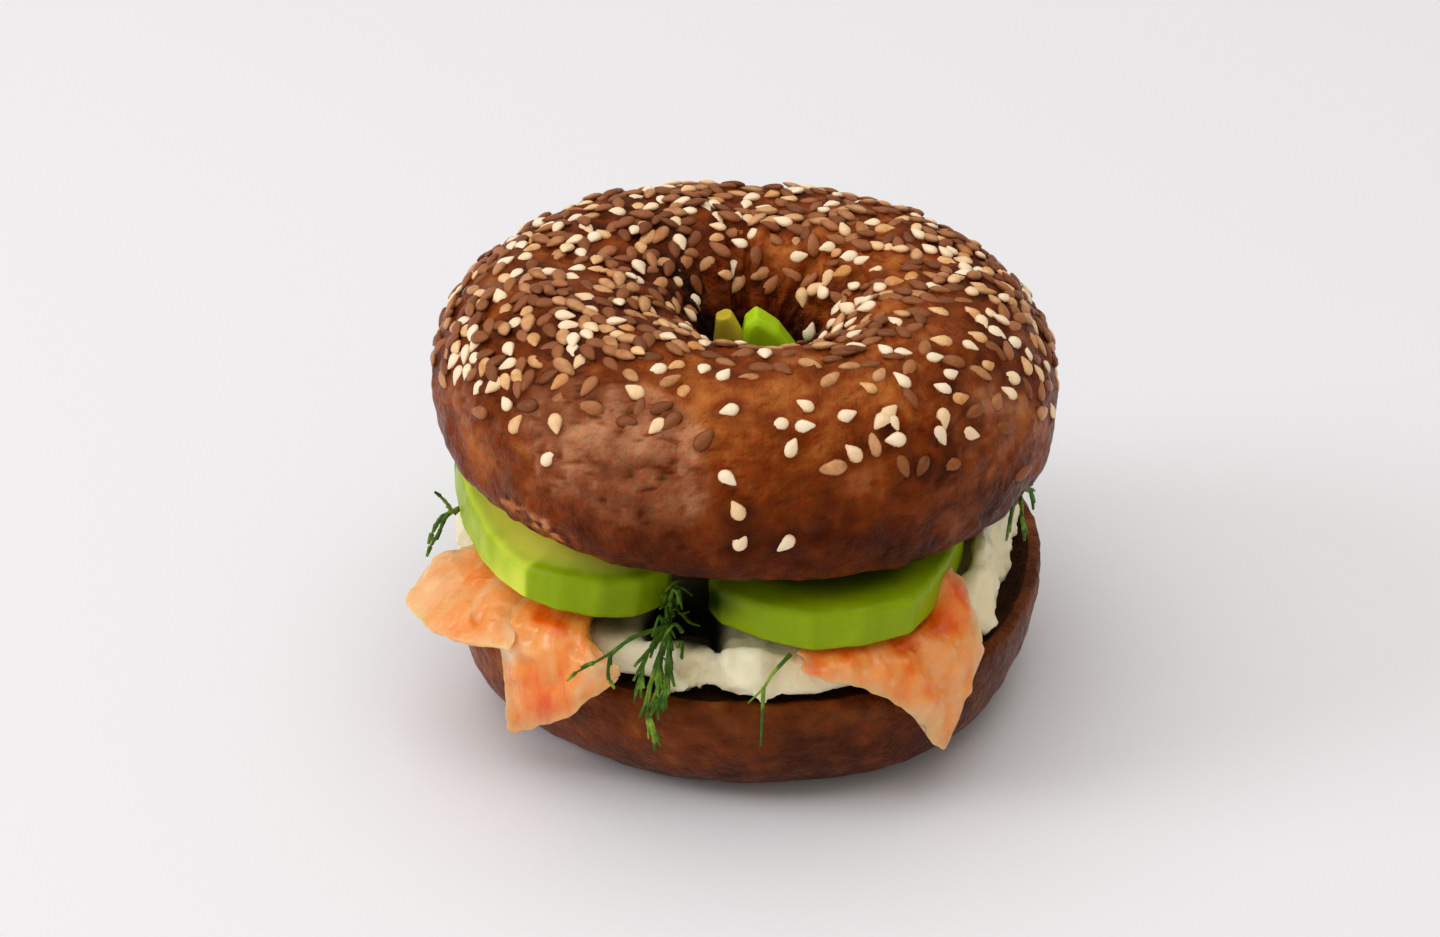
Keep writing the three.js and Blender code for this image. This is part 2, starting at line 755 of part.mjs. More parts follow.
addPiece("avocado_centre", standingPiece(CENTRE_PIECE, 6, 0), FINISH.avocado);
addPiece("avocado_centre_strip", standingPiece(CENTRE_STRIP, 3.8, 0.2), FINISH.avocado);

addPiece("dill_left", makeDillLeft(), FINISH.dill);
addPiece("dill_centre", makeDillCentre(), FINISH.dill);
addPiece("dill_thread", makeDillThread(), FINISH.dill);
addPiece("dill_right", makeDillRight(), FINISH.dill);

const crown = addPiece("crown", makeCrown(), FINISH.crust);
crown.position.set(CROWN_ASIDE, 0, CROWN_MIDDLE);
crown.rotation.y = radians(CROWN_TILT);

const box = new THREE.Box3().setFromObject(sandwich, true);
const middle = box.getCenter(new THREE.Vector3());
sandwich.position.set(-middle.x, -middle.y, -box.min.z);

export default sandwich;
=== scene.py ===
# %% [markdown]
# # A seeded dark bagel with smoked salmon, avocado and dill
# From the bottom up the sandwich is a heel of dark bread, a thick spread of cream cheese, slices of smoked
# salmon that hang over the edge, slices of avocado, sprigs of dill, and a crown under a crust of seeds.
# The lesson starts from plain solids of these pieces, which fix every size and place, and dresses each one.

# %% Load the plain solids
import math
import random

import bpy
from mathutils import Matrix, Vector, noise
from mathutils.bvhtree import BVHTree
from mathutils.kdtree import KDTree


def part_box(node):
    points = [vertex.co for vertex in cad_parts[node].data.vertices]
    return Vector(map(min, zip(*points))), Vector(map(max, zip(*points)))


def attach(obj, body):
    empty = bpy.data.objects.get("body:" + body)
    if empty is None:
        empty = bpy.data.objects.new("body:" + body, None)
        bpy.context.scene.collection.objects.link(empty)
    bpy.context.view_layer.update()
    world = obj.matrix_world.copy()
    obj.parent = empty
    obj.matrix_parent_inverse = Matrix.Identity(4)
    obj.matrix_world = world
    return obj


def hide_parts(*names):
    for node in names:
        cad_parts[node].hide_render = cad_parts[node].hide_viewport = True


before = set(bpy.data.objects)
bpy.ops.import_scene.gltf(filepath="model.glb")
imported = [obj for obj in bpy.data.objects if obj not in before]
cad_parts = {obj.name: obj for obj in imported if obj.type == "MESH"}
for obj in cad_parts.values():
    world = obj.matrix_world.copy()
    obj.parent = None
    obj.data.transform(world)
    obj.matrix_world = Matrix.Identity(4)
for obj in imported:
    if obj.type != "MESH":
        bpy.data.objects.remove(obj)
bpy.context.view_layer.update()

MM = 0.001

# %% [markdown]
# ## Where the middle is
# Everything in a bagel is laid out round its hole, so the lesson measures from the middle of the heel's hole.
# The wedge of avocado in the hole has its front level with that middle, and its left side a known distance
# from it. So the wedge gives the middle's place, and no number is copied that a later change of the solids
# would make wrong.

# %% Find the middle of the heel's hole
WEDGE_LEFT = -1.2
wedge_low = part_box("avocado_centre")[0]
HOLE = Vector((wedge_low.x - WEDGE_LEFT * MM, wedge_low.y, 0))


def polar(direction, radius, height):
    """A point from a direction in degrees, and a distance and a height in millimetres, round the hole."""
    turn = math.radians(direction)
    return HOLE + Vector((radius * math.cos(turn), radius * math.sin(turn), height)) * MM


def direction_of(point):
    """The direction of a point from the middle of the hole, in degrees."""
    return math.degrees(math.atan2(point.y - HOLE.y, point.x - HOLE.x))


def radius_of(point):
    """The distance of a point from the middle of the hole, in millimetres."""
    return math.hypot(point.x - HOLE.x, point.y - HOLE.y) / MM


print("middle of the hole in mm:", [round(c / MM, 2) for c in HOLE])

# %% [markdown]
# ## Small measures
# Food swells, dips and fades without hard limits. These functions say so. A soft step leads from 0 to 1, a
# hump covers a range of directions, waves run all the way round, and a measure runs through given values.

# %% Steps, humps and waves


def lerp(a, b, share):
    return a + (b - a) * share


def smooth(value, low, high):
    """A soft step: 0 up to low, 1 from high on."""
    t = min(1.0, max(0.0, (value - low) / (high - low)))
    return t * t * (3 - 2 * t)


def apart(a, b):
    """Degrees between two directions, at most 180."""
    return abs((a - b + 540) % 360 - 180)


def hump(direction, centre, width):
    """1 at the centre, almost gone at twice the width, in degrees."""
    return math.exp(-((apart(direction, centre) / width) ** 2))


def waves(direction, kinds, level=0.0):
    """A level with waves on it. Each kind is a count all the way round, a start in degrees and a height."""
    for count, start, height in kinds:
        level += height * math.sin(math.radians(count * direction + start))
    return level


def along(marks):
    """A measure that runs through given values at given directions."""

    def measure(direction):
        if direction <= marks[0][0]:
            return marks[0][1]
        for (a, low), (b, high) in zip(marks, marks[1:]):
            if direction <= b:
                return lerp(low, high, (direction - a) / (b - a))
        return marks[-1][1]

    return measure


print("half way up a soft step:", smooth(0.5, 0, 1), "and a hump at its width:", round(hump(20, 0, 20), 2))

# %% [markdown]
# ## Lumps
# Nothing baked, spread or cut is quite even. Smooth noise of a given size in millimetres gives lumps, and
# lumps of several sizes are laid over each other. Two rows of noise along a line give a torn edge.

# %% Lumps and torn edges


def lumps(point, size, other=0.0):
    """Soft lumps of a size in millimetres, from about -1 to 1. Another number gives other lumps."""
    return noise.noise(point / (size * MM) + Vector((other, 1.7 * other, -other)))


def lumpy(point, kinds):
    """Lumps laid over each other. Each kind is a height, a size in millimetres and a number."""
    return sum(height * lumps(point, size, other) for height, size, other in kinds)


def torn(t, coarse, fine, fine_share, other):
    """An uneven edge over t from 0 to 1. Coarse and fine are each a count of lumps and a row of the noise."""
    (count, row), (fine_count, fine_row) = coarse, fine
    edge = noise.noise(Vector((t * count, other, row)))
    return edge + fine_share * noise.noise(Vector((t * fine_count, other, fine_row)))


print("a lump of 5 mm at the hole:", round(lumps(HOLE, 5), 2))

# %% [markdown]
# ## Handling objects
# Operators act on what is selected, and loading leaves the solids selected. So each step first deselects all
# and picks up the one object it works on. Modifiers are applied at once, so every piece stays a plain mesh.

# %% Pick up, edit and finish
SAME_PLACE = 1e-6


def pick(thing):
    bpy.ops.object.select_all(action="DESELECT")
    thing.select_set(True)
    bpy.context.view_layer.objects.active = thing
    return thing


def linked(name, data):
    """A new object in the scene."""
    thing = bpy.data.objects.new(name, data)
    bpy.context.scene.collection.objects.link(thing)
    return thing


def new_piece(name, data):
    """A new object, picked up."""
    return pick(linked(name, data))


def named(name):
    """The object that an operator has just made, under its own name."""
    bpy.context.object.name = name
    bpy.context.object.data.name = name
    return pick(bpy.context.object)


def finish_with(piece, kind, **settings):
    """Adds one modifier with its settings and applies it."""
    pick(piece)
    modifier = piece.modifiers.new(kind.title(), kind)
    for key, value in settings.items():
        setattr(modifier, key, value)
    bpy.ops.object.modifier_apply(modifier=modifier.name)


def mend(piece, turn_outwards=True):
    """Merges doubles. The faces of a solid's copy point outwards already and aren't turned."""
    pick(piece)
    bpy.ops.object.mode_set(mode="EDIT")
    bpy.ops.mesh.select_all(action="SELECT")
    bpy.ops.mesh.remove_doubles(threshold=SAME_PLACE)
    if turn_outwards:
        bpy.ops.mesh.normals_make_consistent(inside=False)
    bpy.ops.object.mode_set(mode="OBJECT")


# %% [markdown]
# ## What every piece gets
# A piece is raised along its normals for relief. It also carries values for each vertex, which its material
# reads by their names. At the end it is tied to the sandwich, takes the place of its solid and is shaded
# smooth.

# %% Relief, values and belonging


def relief(piece, height):
    """Raises each vertex along its normal by height(point, normal) in millimetres."""
    vertices = piece.data.vertices
    normals = [v.normal.copy() for v in vertices]
    for v, normal in zip(vertices, normals):
        v.co += normal * height(v.co, normal) * MM
    piece.data.update()


def mark(piece, name, values):
    """Writes one value for each vertex, under a name."""
    piece.data.attributes.new(name, "FLOAT", "POINT").data.foreach_set("value", values)


def search_tree(points):
    """A tree that finds the nearest of many points."""
    tree = KDTree(len(points))
    for i, point in enumerate(points):
        tree.insert(point, i)
    tree.balance()
    return tree


def belongs(piece, slot, *nodes):
    """The piece rides with the sandwich, stands for these solids and is shaded smooth."""
    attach(piece, "root")
    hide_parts(*nodes)
    pick(piece)
    bpy.ops.object.shade_smooth()
    print(piece.name, "has", len(piece.data.polygons), "faces")


# %% [markdown]
# ## The camera
# The photograph looks down on the sandwich at 30 degrees, from half a metre away, with a lens of about 76 mm.
# The camera comes first because some seeds are later laid by sighting through it, at the place where the
# photograph shows them.

# %% Set up the camera
PHOTO_WIDTH = 1440
PHOTO_HEIGHT = 937
CAMERA_RISE = 30
CAMERA_DISTANCE = 520
LENS = 75.92
SENSOR = 36
NEAREST_SEEN = 0.01
# What the camera looks at, from the middle of the hole on the floor.
AIM = (-5, 0, 36)
aim = HOLE + Vector(AIM) * MM
rise = math.radians(CAMERA_RISE)
backwards = Vector((0, -math.cos(rise), math.sin(rise)))
up = Vector((0, math.sin(rise), math.cos(rise)))
camera = linked("camera", bpy.data.cameras.new("camera"))
camera.data.lens = LENS
camera.data.sensor_width = SENSOR
camera.data.clip_start = NEAREST_SEEN
camera.location = aim + backwards * CAMERA_DISTANCE * MM
camera.rotation_euler = backwards.to_track_quat("Z", "Y").to_euler()
bpy.context.scene.camera = camera
print("camera at", [round(c, 3) for c in camera.location])

# %% [markdown]
# ## From the photograph to the sandwich and back
# A pixel of the photograph is a direction from the camera, and a point of the sandwich is seen at a pixel.
# The first places seeds. The second lets colours and folds be placed as soft spots where the photograph
# shows them, with a size in its pixels.

# %% Sight lines and spots


def sight(x, y):
    """The way from the camera to a place in the photograph, in pixels from its top left corner."""
    pixels = LENS / SENSOR * PHOTO_WIDTH
    aside, above = (x - PHOTO_WIDTH / 2) / pixels, (PHOTO_HEIGHT / 2 - y) / pixels
    return Vector((aside, 0, 0)) + up * above - backwards


def seen_at(point):
    """Where the photograph shows a point, in pixels from its top left corner."""
    offset = point - camera.location
    pixels = LENS / SENSOR * PHOTO_WIDTH / -offset.dot(backwards)
    return PHOTO_WIDTH / 2 + offset.x * pixels, PHOTO_HEIGHT / 2 - offset.dot(up) * pixels


def spots(point, marks):
    """A sum of soft spots. Each mark is a place in the photograph, a size in its pixels and a strength."""
    x, y = seen_at(point)
    total = 0
    for spot_x, spot_y, size, strength in marks:
        total += strength * math.exp(-((x - spot_x) ** 2 + (y - spot_y) ** 2) / size ** 2)
    return total


print("the camera's aim is seen at", [round(c) for c in seen_at(aim)])

# %% [markdown]
# ## Colours
# Paints are named by the red, green and blue that a picture shows, from 0 to 255. Shaders work in linear
# light, so each is converted once, here.

# %% Mix a paint


def paint(red, green, blue):
    def linear(value):
        value /= 255
        return value / 12.92 if value <= 0.04045 else ((value + 0.055) / 1.055) ** 2.4

    return (linear(red), linear(green), linear(blue), 1.0)


print("a middle grey in linear light:", round(paint(128, 128, 128)[0], 3))

# %% [markdown]
# ## Building materials
# Every finish here is made of the same few blocks: coordinates, noise, colour ramps, mixes and a bump. These
# helpers place one node each and connect what they are given, so that a material reads from top to bottom.

# %% Helpers for shader nodes


def block(tree, kind, settings=(), **inputs):
    """Adds a shader node. Inputs are values or nodes' outputs, by socket name or as in0, in1 and so on."""
    made = tree.nodes.new("ShaderNode" + kind)
    for key, value in settings:
        setattr(made, key, value)
    for key, value in inputs.items():
        socket = made.inputs[int(key[2:])] if key[2:].isdigit() else made.inputs[key.replace("_", " ")]
        if isinstance(value, bpy.types.NodeSocket):
            tree.links.new(value, socket)
        else:
            socket.default_value = value
    return made


def marked(tree, name):
    """The value that mark wrote for each vertex."""
    return block(tree, "Attribute", [("attribute_name", name)]).outputs["Fac"]


def ramp(tree, value, stops):
    """Turns a value into a colour through stops of (position, (red, green, blue))."""
    made = block(tree, "ValToRGB", Fac=value)
    elements = made.color_ramp.elements
    for element, (position, colour) in zip(elements, (stops[0], stops[-1])):
        element.position, element.color = position, paint(*colour)
    for position, colour in stops[1:-1]:
        elements.new(position).color = paint(*colour)
    return made.outputs["Color"]


def mixed(tree, share, a, b, way="MIX"):
    """Mixes two colours by a share."""
    made = block(tree, "Mix", [("data_type", "RGBA"), ("blend_type", way)], in0=share, in6=a, in7=b)
    return made.outputs[2]


def maths(tree, way, a, b=0.0, clamp=False):
    return block(tree, "Math", [("operation", way), ("use_clamp", clamp)], in0=a, in1=b).outputs[0]


def times(tree, a, b):
    return maths(tree, "MULTIPLY", a, b)


def wander(tree, value, reach):
    """Moves a noise that lies round one half to lie round 0, as far as the reach."""
    return times(tree, maths(tree, "SUBTRACT", value, 0.5), reach)


def between(tree, value, low, high, to_low=0.0, to_high=1.0):
    """Maps a value from one range to another, smoothly and clamped."""
    made = block(
        tree, "MapRange", [("interpolation_type", "SMOOTHSTEP")],
        Value=value, From_Min=low, From_Max=high, To_Min=to_low, To_Max=to_high,
    )
    return made.outputs["Result"]


def finish(name, roughness, **sockets):
    """A new material and its main shader, with what is the same all over set on the shader itself."""
    material = bpy.data.materials.new(name)
    material.use_nodes = True
    shader = material.node_tree.nodes["Principled BSDF"]
    shader.inputs["Roughness"].default_value = roughness
    for key, value in sockets.items():
        shader.inputs[key.replace("_", " ")].default_value = value
    return material, material.node_tree, shader


def surfaced(tree, shader, body, height, distance):
    """Gives the shader its colour and fine relief, whose full range stands this many millimetres high."""
    tree.links.new(body, shader.inputs["Base Color"])
    bump = block(tree, "Bump", Height=height, Distance=distance * MM, Strength=1.0)
    tree.links.new(bump.outputs["Normal"], shader.inputs["Normal"])


print("materials to begin with:", len(bpy.data.materials))

# %% [markdown]
# ## Food skin, a shared effect
# Crust, crumb, seeds, cream, salmon, avocado and dill all vary in two ways: broad blotches, where heat or
# moisture worked unevenly, and a fine grain. One node group gives both, with small pits and a height for the
# bump. It is built once, and each material sets its own sizes.

# %% Build the food skin group


def build_food_skin():
    group = bpy.data.node_groups.new("food skin", "ShaderNodeTree")
    group.interface.new_socket("Place", in_out="INPUT", socket_type="NodeSocketVector")
    for name, value in (("Blotch Size", 12.0), ("Grain Size", 1.5), ("Pit Size", 2.5), ("Pit Share", 0.3)):
        socket = group.interface.new_socket(name, in_out="INPUT", socket_type="NodeSocketFloat")
        socket.default_value = value
    for name in ("Blotch", "Grain", "Pits", "Height"):
        group.interface.new_socket(name, in_out="OUTPUT", socket_type="NodeSocketFloat")
    start = group.nodes.new("NodeGroupInput")
    end = group.nodes.new("NodeGroupOutput")
    place = start.outputs["Place"]
    scales = {}
    for name in ("Blotch Size", "Grain Size", "Pit Size"):
        scales[name] = maths(group, "DIVIDE", 1 / MM, start.outputs[name])
    blotch = block(group, "TexNoise", Vector=place, Scale=scales["Blotch Size"], Detail=4.0, Roughness=0.6)
    grain = block(group, "TexNoise", Vector=place, Scale=scales["Grain Size"], Detail=3.0, Roughness=0.6)
    cells = block(group, "TexVoronoi", Vector=place, Scale=scales["Pit Size"])
    pits = between(group, cells.outputs["Distance"], 0.08, 0.32, 1.0, 0.0)
    deep = times(group, pits, start.outputs["Pit Share"])
    group.links.new(blotch.outputs["Fac"], end.inputs["Blotch"])
    group.links.new(grain.outputs["Fac"], end.inputs["Grain"])
    group.links.new(pits, end.inputs["Pits"])
    group.links.new(maths(group, "SUBTRACT", grain.outputs["Fac"], deep), end.inputs["Height"])
    return group


FOOD_SKIN = build_food_skin()


def food_skin(tree, *sizes):
    """The group on the piece's own coordinates, with sizes of blotch, grain and pit, and a pit share."""
    place = block(tree, "TexCoord").outputs["Object"]
    made = tree.nodes.new("ShaderNodeGroup")
    made.node_tree = FOOD_SKIN
    tree.links.new(place, made.inputs["Place"])
    for name, value in zip(("Blotch Size", "Grain Size", "Pit Size", "Pit Share"), sizes):
        made.inputs[name].default_value = value
    return place, made.outputs


print("food skin has", len(FOOD_SKIN.nodes), "nodes")

# %% [markdown]
# ## Crust
# The crust was brushed before baking. Some patches kept a thin clear glaze and glow orange-brown, others went
# dull and a little mauve, with a painted sheen. Painted light makes it lighter high up and on the left, and
# painted shade darkens all of it low down, where it curls in. Two values that are marked on each vertex steer
# this: "bake_and_shading", from dark to light with the painted light and shade in it, and "dull_and_sheen",
# from glazed to dull with the painted sheen. Blotches break them up. Baked skin also creases like leather.
# Ridged noise of two sizes is the simplest likeness of that: it paints shade into the creases and cuts them
# into the bump.

# %% Crust


def creased(tree, place, scale, low, high, **settings):
    """Sharp creases, as a mask that rises between two values of a ridged noise."""
    made = block(
        tree, "TexNoise", [("noise_type", "RIDGED_MULTIFRACTAL")], Vector=place, Scale=scale, **settings,
    )
    return between(tree, made.outputs["Fac"], low, high)


def make_crust(name, dark, glazed, dull_and_sheen, grain_rise):
    material, tree, shader = finish(name, 0.45, Specular_IOR_Level=0.12, Specular_Tint=paint(255, 190, 150))
    place, skin = food_skin(tree, 11.0, 1.5, 2.6, 0.2)
    blotches = wander(tree, skin["Blotch"], 1.1)
    baked_and_shaded = maths(tree, "ADD", marked(tree, "bake_and_shading"), blotches, clamp=True)
    dull_and_sheen_share = between(tree, maths(tree, "ADD", marked(tree, "dull_and_sheen"), blotches), 0.35, 0.75)
    burnt = [(0.0, (20, 7, 2)), (0.16, dark)]
    body = mixed(tree, dull_and_sheen_share, ramp(tree, baked_and_shaded, [*burnt, *glazed]), ramp(tree, baked_and_shaded, [*burnt, *dull_and_sheen]))
    fine = between(tree, skin["Grain"], 0.38, 0.68)
    body = mixed(tree, times(tree, fine, 0.42), body, paint(206, 132, 84), "SOFT_LIGHT")
    ridges = creased(
        tree, place, 420.0, 0.55, 1.6, Detail=3.0, Roughness=0.55, Lacunarity=2.1, Distortion=0.3,
    )
    cracks = creased(
        tree, place, 950.0, 0.8, 1.7, Detail=2.0, Roughness=0.5, Lacunarity=2.2, Distortion=0.2,
    )
    cracks = times(tree, cracks, between(tree, dull_and_sheen_share, 0.0, 1.0, 0.25, 0.75))
    creases = maths(tree, "MAXIMUM", times(tree, ridges, 0.5), times(tree, cracks, 0.6))
    # Painted shade in the creases.
    body = mixed(tree, creases, body, paint(*dark))
    gloss = maths(tree, "ADD", times(tree, dull_and_sheen_share, 0.1), between(tree, skin["Grain"], 0.3, 0.7, 0.3, 0.46))
    tree.links.new(gloss, shader.inputs["Roughness"])
    height = maths(tree, "SUBTRACT", skin["Height"], times(tree, ridges, 0.6))
    height = maths(tree, "SUBTRACT", height, times(tree, cracks, 0.45))
    surfaced(tree, shader, body, height, grain_rise)
    return material


def mark_crust_tone(piece, tone):
    """Marks bake and shading, and dullness and sheen, on each vertex, from tone(point, normal) that gives
    both.
    """
    bakes_and_shading, dulls_and_sheen = zip(*(tone(v.co, v.normal) for v in piece.data.vertices))
    mark(piece, "bake_and_shading", bakes_and_shading)
    mark(piece, "dull_and_sheen", dulls_and_sheen)


crust = make_crust(
    "crust", (62, 22, 4),
    [(0.35, (86, 34, 6)), (0.65, (128, 59, 15)), (1.0, (182, 108, 48))],
    [(0.35, (88, 42, 18)), (0.65, (138, 80, 50)), (1.0, (196, 142, 106))],
    0.8,
)
heel_crust = make_crust(
    "heel crust", (50, 20, 6),
    [(0.4, (78, 34, 7)), (0.7, (118, 57, 18)), (1.0, (162, 96, 48))],
    [(0.4, (73, 34, 9)), (0.7, (112, 59, 24)), (1.0, (154, 97, 54))],
    0.7,
)
print("crusts:", crust.name, heel_crust.name)

# %% [markdown]
# ## Crumb
# Where the bagel was cut, its dense dark crumb shows. It is dull and full of small holes. They could be cut
# into the mesh, but at a millimetre they only show as shading, so a rough finish with deep pits does.

# %% Crumb of the cut faces


def make_crumb():
    material, tree, shader = finish("crumb", 0.85, Specular_IOR_Level=0.1)
    place, skin = food_skin(tree, 5.0, 0.9, 1.3, 0.7)
    body = ramp(tree, skin["Blotch"], [(0.3, (30, 15, 6)), (0.7, (66, 36, 16))])
    body = mixed(tree, times(tree, skin["Pits"], 0.7), body, paint(20, 9, 4))
    surfaced(tree, shader, body, skin["Height"], 0.9)
    return material


crumb = make_crumb()
print("crumb:", crumb.name)

# %% [markdown]
# ## The heel
# The lower half of the bagel has a rounded wall, a flat foot and a slightly dished cut face, round a hole. A
# cylinder with rounded edges would do for the wall alone. One section, drawn as a line and turned round the
# hole with the spin tool, gives the foot, the wall, the lip and the dish in one go.

# %% Spin the heel
HEEL_RIM = 51.0
HEEL_HEIGHT = 21.4
HEEL_FOOT = 37.0
HEEL_FOOT_HOLE = 15.0
HEEL_HOLE = 10.5
HEEL_WALL_POWER = 2.3
HEEL_DISH = 1.0
HEEL_WALL_STEPS = 40
HEEL_TURNS = 288
DISH_EDGE = HEEL_RIM - 4
LIP_EDGE = HEEL_RIM - 1.6


def heel_section():
    """The section of the heel from the foot round the wall, over the cut face and down the hole."""
    points = []
    for i in range(HEEL_WALL_STEPS + 1):
        turn = i / HEEL_WALL_STEPS * math.pi / 2
        out = math.sin(turn) ** (2 / HEEL_WALL_POWER)
        rise_share = 1 - max(0.0, math.cos(turn)) ** (2 / HEEL_WALL_POWER)
        points.append((lerp(HEEL_FOOT, HEEL_RIM, out), (HEEL_HEIGHT - 0.5) * rise_share))
    points += [(HEEL_RIM - 0.5, HEEL_HEIGHT - 0.12), (LIP_EDGE + 0.4, HEEL_HEIGHT)]
    dish = HEEL_HEIGHT - HEEL_DISH
    points += [(radius, dish) for radius in range(49, 12, -1)]
    points += [(HEEL_HOLE + 0.6, dish - 0.5), (HEEL_HOLE, dish - 2)]
    points += [(HEEL_HOLE - 0.3, 15), (HEEL_HOLE - 0.5, 10.7), (HEEL_HOLE, 7), (HEEL_HOLE + 1.2, 4)]
    points += [(HEEL_FOOT_HOLE - 1.2, 1.4), (HEEL_FOOT_HOLE, 0)]
    points += [(radius, 0) for radius in range(18, 36, 3)]
    return points


section = heel_section()
mesh = bpy.data.meshes.new("heel_bread")
mesh.from_pydata(
    [HOLE + Vector((radius, 0, height)) * MM for radius, height in section],
    [(i, (i + 1) % len(section)) for i in range(len(section))],
    [],
)
heel = new_piece("heel_bread", mesh)
bpy.ops.object.mode_set(mode="EDIT")
bpy.ops.mesh.select_all(action="SELECT")
bpy.ops.mesh.spin(steps=HEEL_TURNS, angle=math.tau, center=HOLE, axis=(0, 0, 1))
bpy.ops.object.mode_set(mode="OBJECT")
mend(heel)
print("heel spun:", len(heel.data.polygons), "faces")

# %% [markdown]
# ## Shaping the heel
# The real rim is out of round: it bulges where the dough spread and is drawn in between. Each vertex moves
# out with that swell, and the cut face rises a little to the lip.

# %% Pull the heel out of round
# Where the rim swells or is drawn in: a direction, a width in degrees and a share of the radius.
HEEL_SWELLS = [(-52, 24, 0.035), (-6, 20, -0.014), (-155, 16, 0.04), (180, 14, -0.03)]
HEEL_WAVES = [(3, 20, 0.006), (5, 0, 0.004)]
DISH_TOP = HEEL_HEIGHT - HEEL_DISH - 0.1


def heel_swell(direction):
    """How far the rim swells in a direction, against a true circle."""
    bulge = sum(share * hump(direction, at, width) for at, width, share in HEEL_SWELLS)
    return 1 + bulge + waves(direction, HEEL_WAVES)


def heel_face(direction, radius):
    """The height of the cut face, which is dished."""
    rise_share = (radius / heel_swell(direction) - DISH_EDGE) / (LIP_EDGE - DISH_EDGE)
    return HEEL_HEIGHT - HEEL_DISH * (1 - min(1.0, max(0.0, rise_share)))


for v in heel.data.vertices:
    direction, radius, height = direction_of(v.co), radius_of(v.co), v.co.z / MM
    swell = heel_swell(direction)
    radius *= swell
    if height > DISH_TOP and HEEL_HOLE + 1 < radius < (LIP_EDGE + 0.5) * swell:
        height = heel_face(direction, radius)
    v.co = polar(direction, radius, height)
heel.data.update()
print("heel reaches", round(max(radius_of(v.co) for v in heel.data.vertices), 1), "mm from the hole's middle")

# %% [markdown]
# ## Crust and crumb of the heel
# The relief fades out towards the foot, so that the heel still stands flat. Inside the lip the faces get the
# crumb. The crust is lighter where the window lights it, high on the left, and darker at the foot.

# %% Give the heel its relief and colours
# Lumps are a height, a size in millimetres and a number.
HEEL_LUMPS = [(0.4, 13, 1), (0.3, 5, 2), (0.2, 2.4, 8)]
HEEL_FACE_LUMPS = [(0.35, 5, 3), (0.28, 1.8, 5)]
HEEL_MOTTLE = [(0.18, 4, 6), (0.14, 2, 7)]
CRUMB_EDGE = LIP_EDGE - 0.9
CRUMB_ABOVE = 15


def heel_relief(point, normal):
    height = point.z / MM
    free = smooth(height, 0.4, 4)
    if normal.z > 0.7:
        return free * lumpy(point, HEEL_FACE_LUMPS)
    near_lip = smooth(height, 13, 20)
    return free * (lumpy(point, HEEL_LUMPS) + 0.3 * near_lip * lumps(point, 3.5, 4))


def heel_tone(point, normal):
    height = point.z / MM
    lit = 0.3 * hump(direction_of(point), -165, 45) + lumpy(point, HEEL_MOTTLE)
    bake_and_shading = 0.42 + lit + 0.12 * smooth(height, 6, 18) - 0.25 * (1 - smooth(height, 0, 6))
    return bake_and_shading, 0.25 + 0.3 * smooth(height, 8, 20)


heel.data.materials.append(heel_crust)
heel.data.materials.append(crumb)
for face in heel.data.polygons:
    inside_lip = radius_of(face.center) < CRUMB_EDGE * heel_swell(direction_of(face.center))
    cut = inside_lip and face.normal.z > 0.3 and face.center.z / MM > CRUMB_ABOVE
    face.material_index = 1 if cut else 0
relief(heel, heel_relief)
mark_crust_tone(heel, heel_tone)
belongs(heel, "heel_crust", "heel")

# %% [markdown]
# ## The crown
# The upper half is a ring of dough that rose in the oven. It could be sculpted, but a torus already has the
# ring, and the even faces that relief needs. Each vertex is pulled out to a fuller, oval section, then a
# plane cuts the ring flat below, and the two cut edges are bridged.

# %% Make the ring of the crown
CROWN_RADIUS = 52.2
CROWN_HOLE = 8.9
CROWN_RISE = 21.0
CROWN_DROP = 7.0
CROWN_POWER = 2.25
# Below this height the crust curls in, by this share at the cut.
CURL_BELOW = -3
CURL = 0.045
HOLE_ASIDE = 2.3
SECTION_MIDDLE = (CROWN_RADIUS + CROWN_HOLE) / 2
SECTION_HALF = (CROWN_RADIUS - CROWN_HOLE) / 2
# Direction, width, how much lower and how much narrower, as shares.
CROWN_DENTS = [(162, 22, 0.06, 0.009), (18, 22, 0.05, 0.008), (90, 40, 0.025, 0.0), (-88, 40, 0.035, 0.0)]
CROWN_WAVES = [(3, 70, 0.004), (5, -40, 0.004)]


def crown_point(direction, turn):
    """A point of the crust, in millimetres round the crown's own middle. The turn is 90 on the crest."""
    c, s = math.cos(math.radians(turn)), math.sin(math.radians(turn))
    out = math.copysign(abs(c) ** (2 / CROWN_POWER), c)
    height = CROWN_RISE * math.copysign(abs(s) ** (2 / CROWN_POWER), s)
    if height < CURL_BELOW:
        out *= 1 - CURL * ((CURL_BELOW - height) / (CROWN_DROP + CURL_BELOW)) ** 2
    radius = SECTION_MIDDLE + SECTION_HALF * out
    inward = (CROWN_RADIUS - radius) / (2 * SECTION_HALF)
    spread, lift = waves(direction, CROWN_WAVES, 1.0), 1.0
    for at, width, lower, narrower in CROWN_DENTS:
        share = hump(direction, at, width)
        lift -= lower * share if height > 0 else 0
        spread -= narrower * share
    a = math.radians(direction)
    x = radius * math.cos(a) * spread + HOLE_ASIDE * max(0.0, inward)
    return Vector((x, radius * math.sin(a) * spread, height * lift))


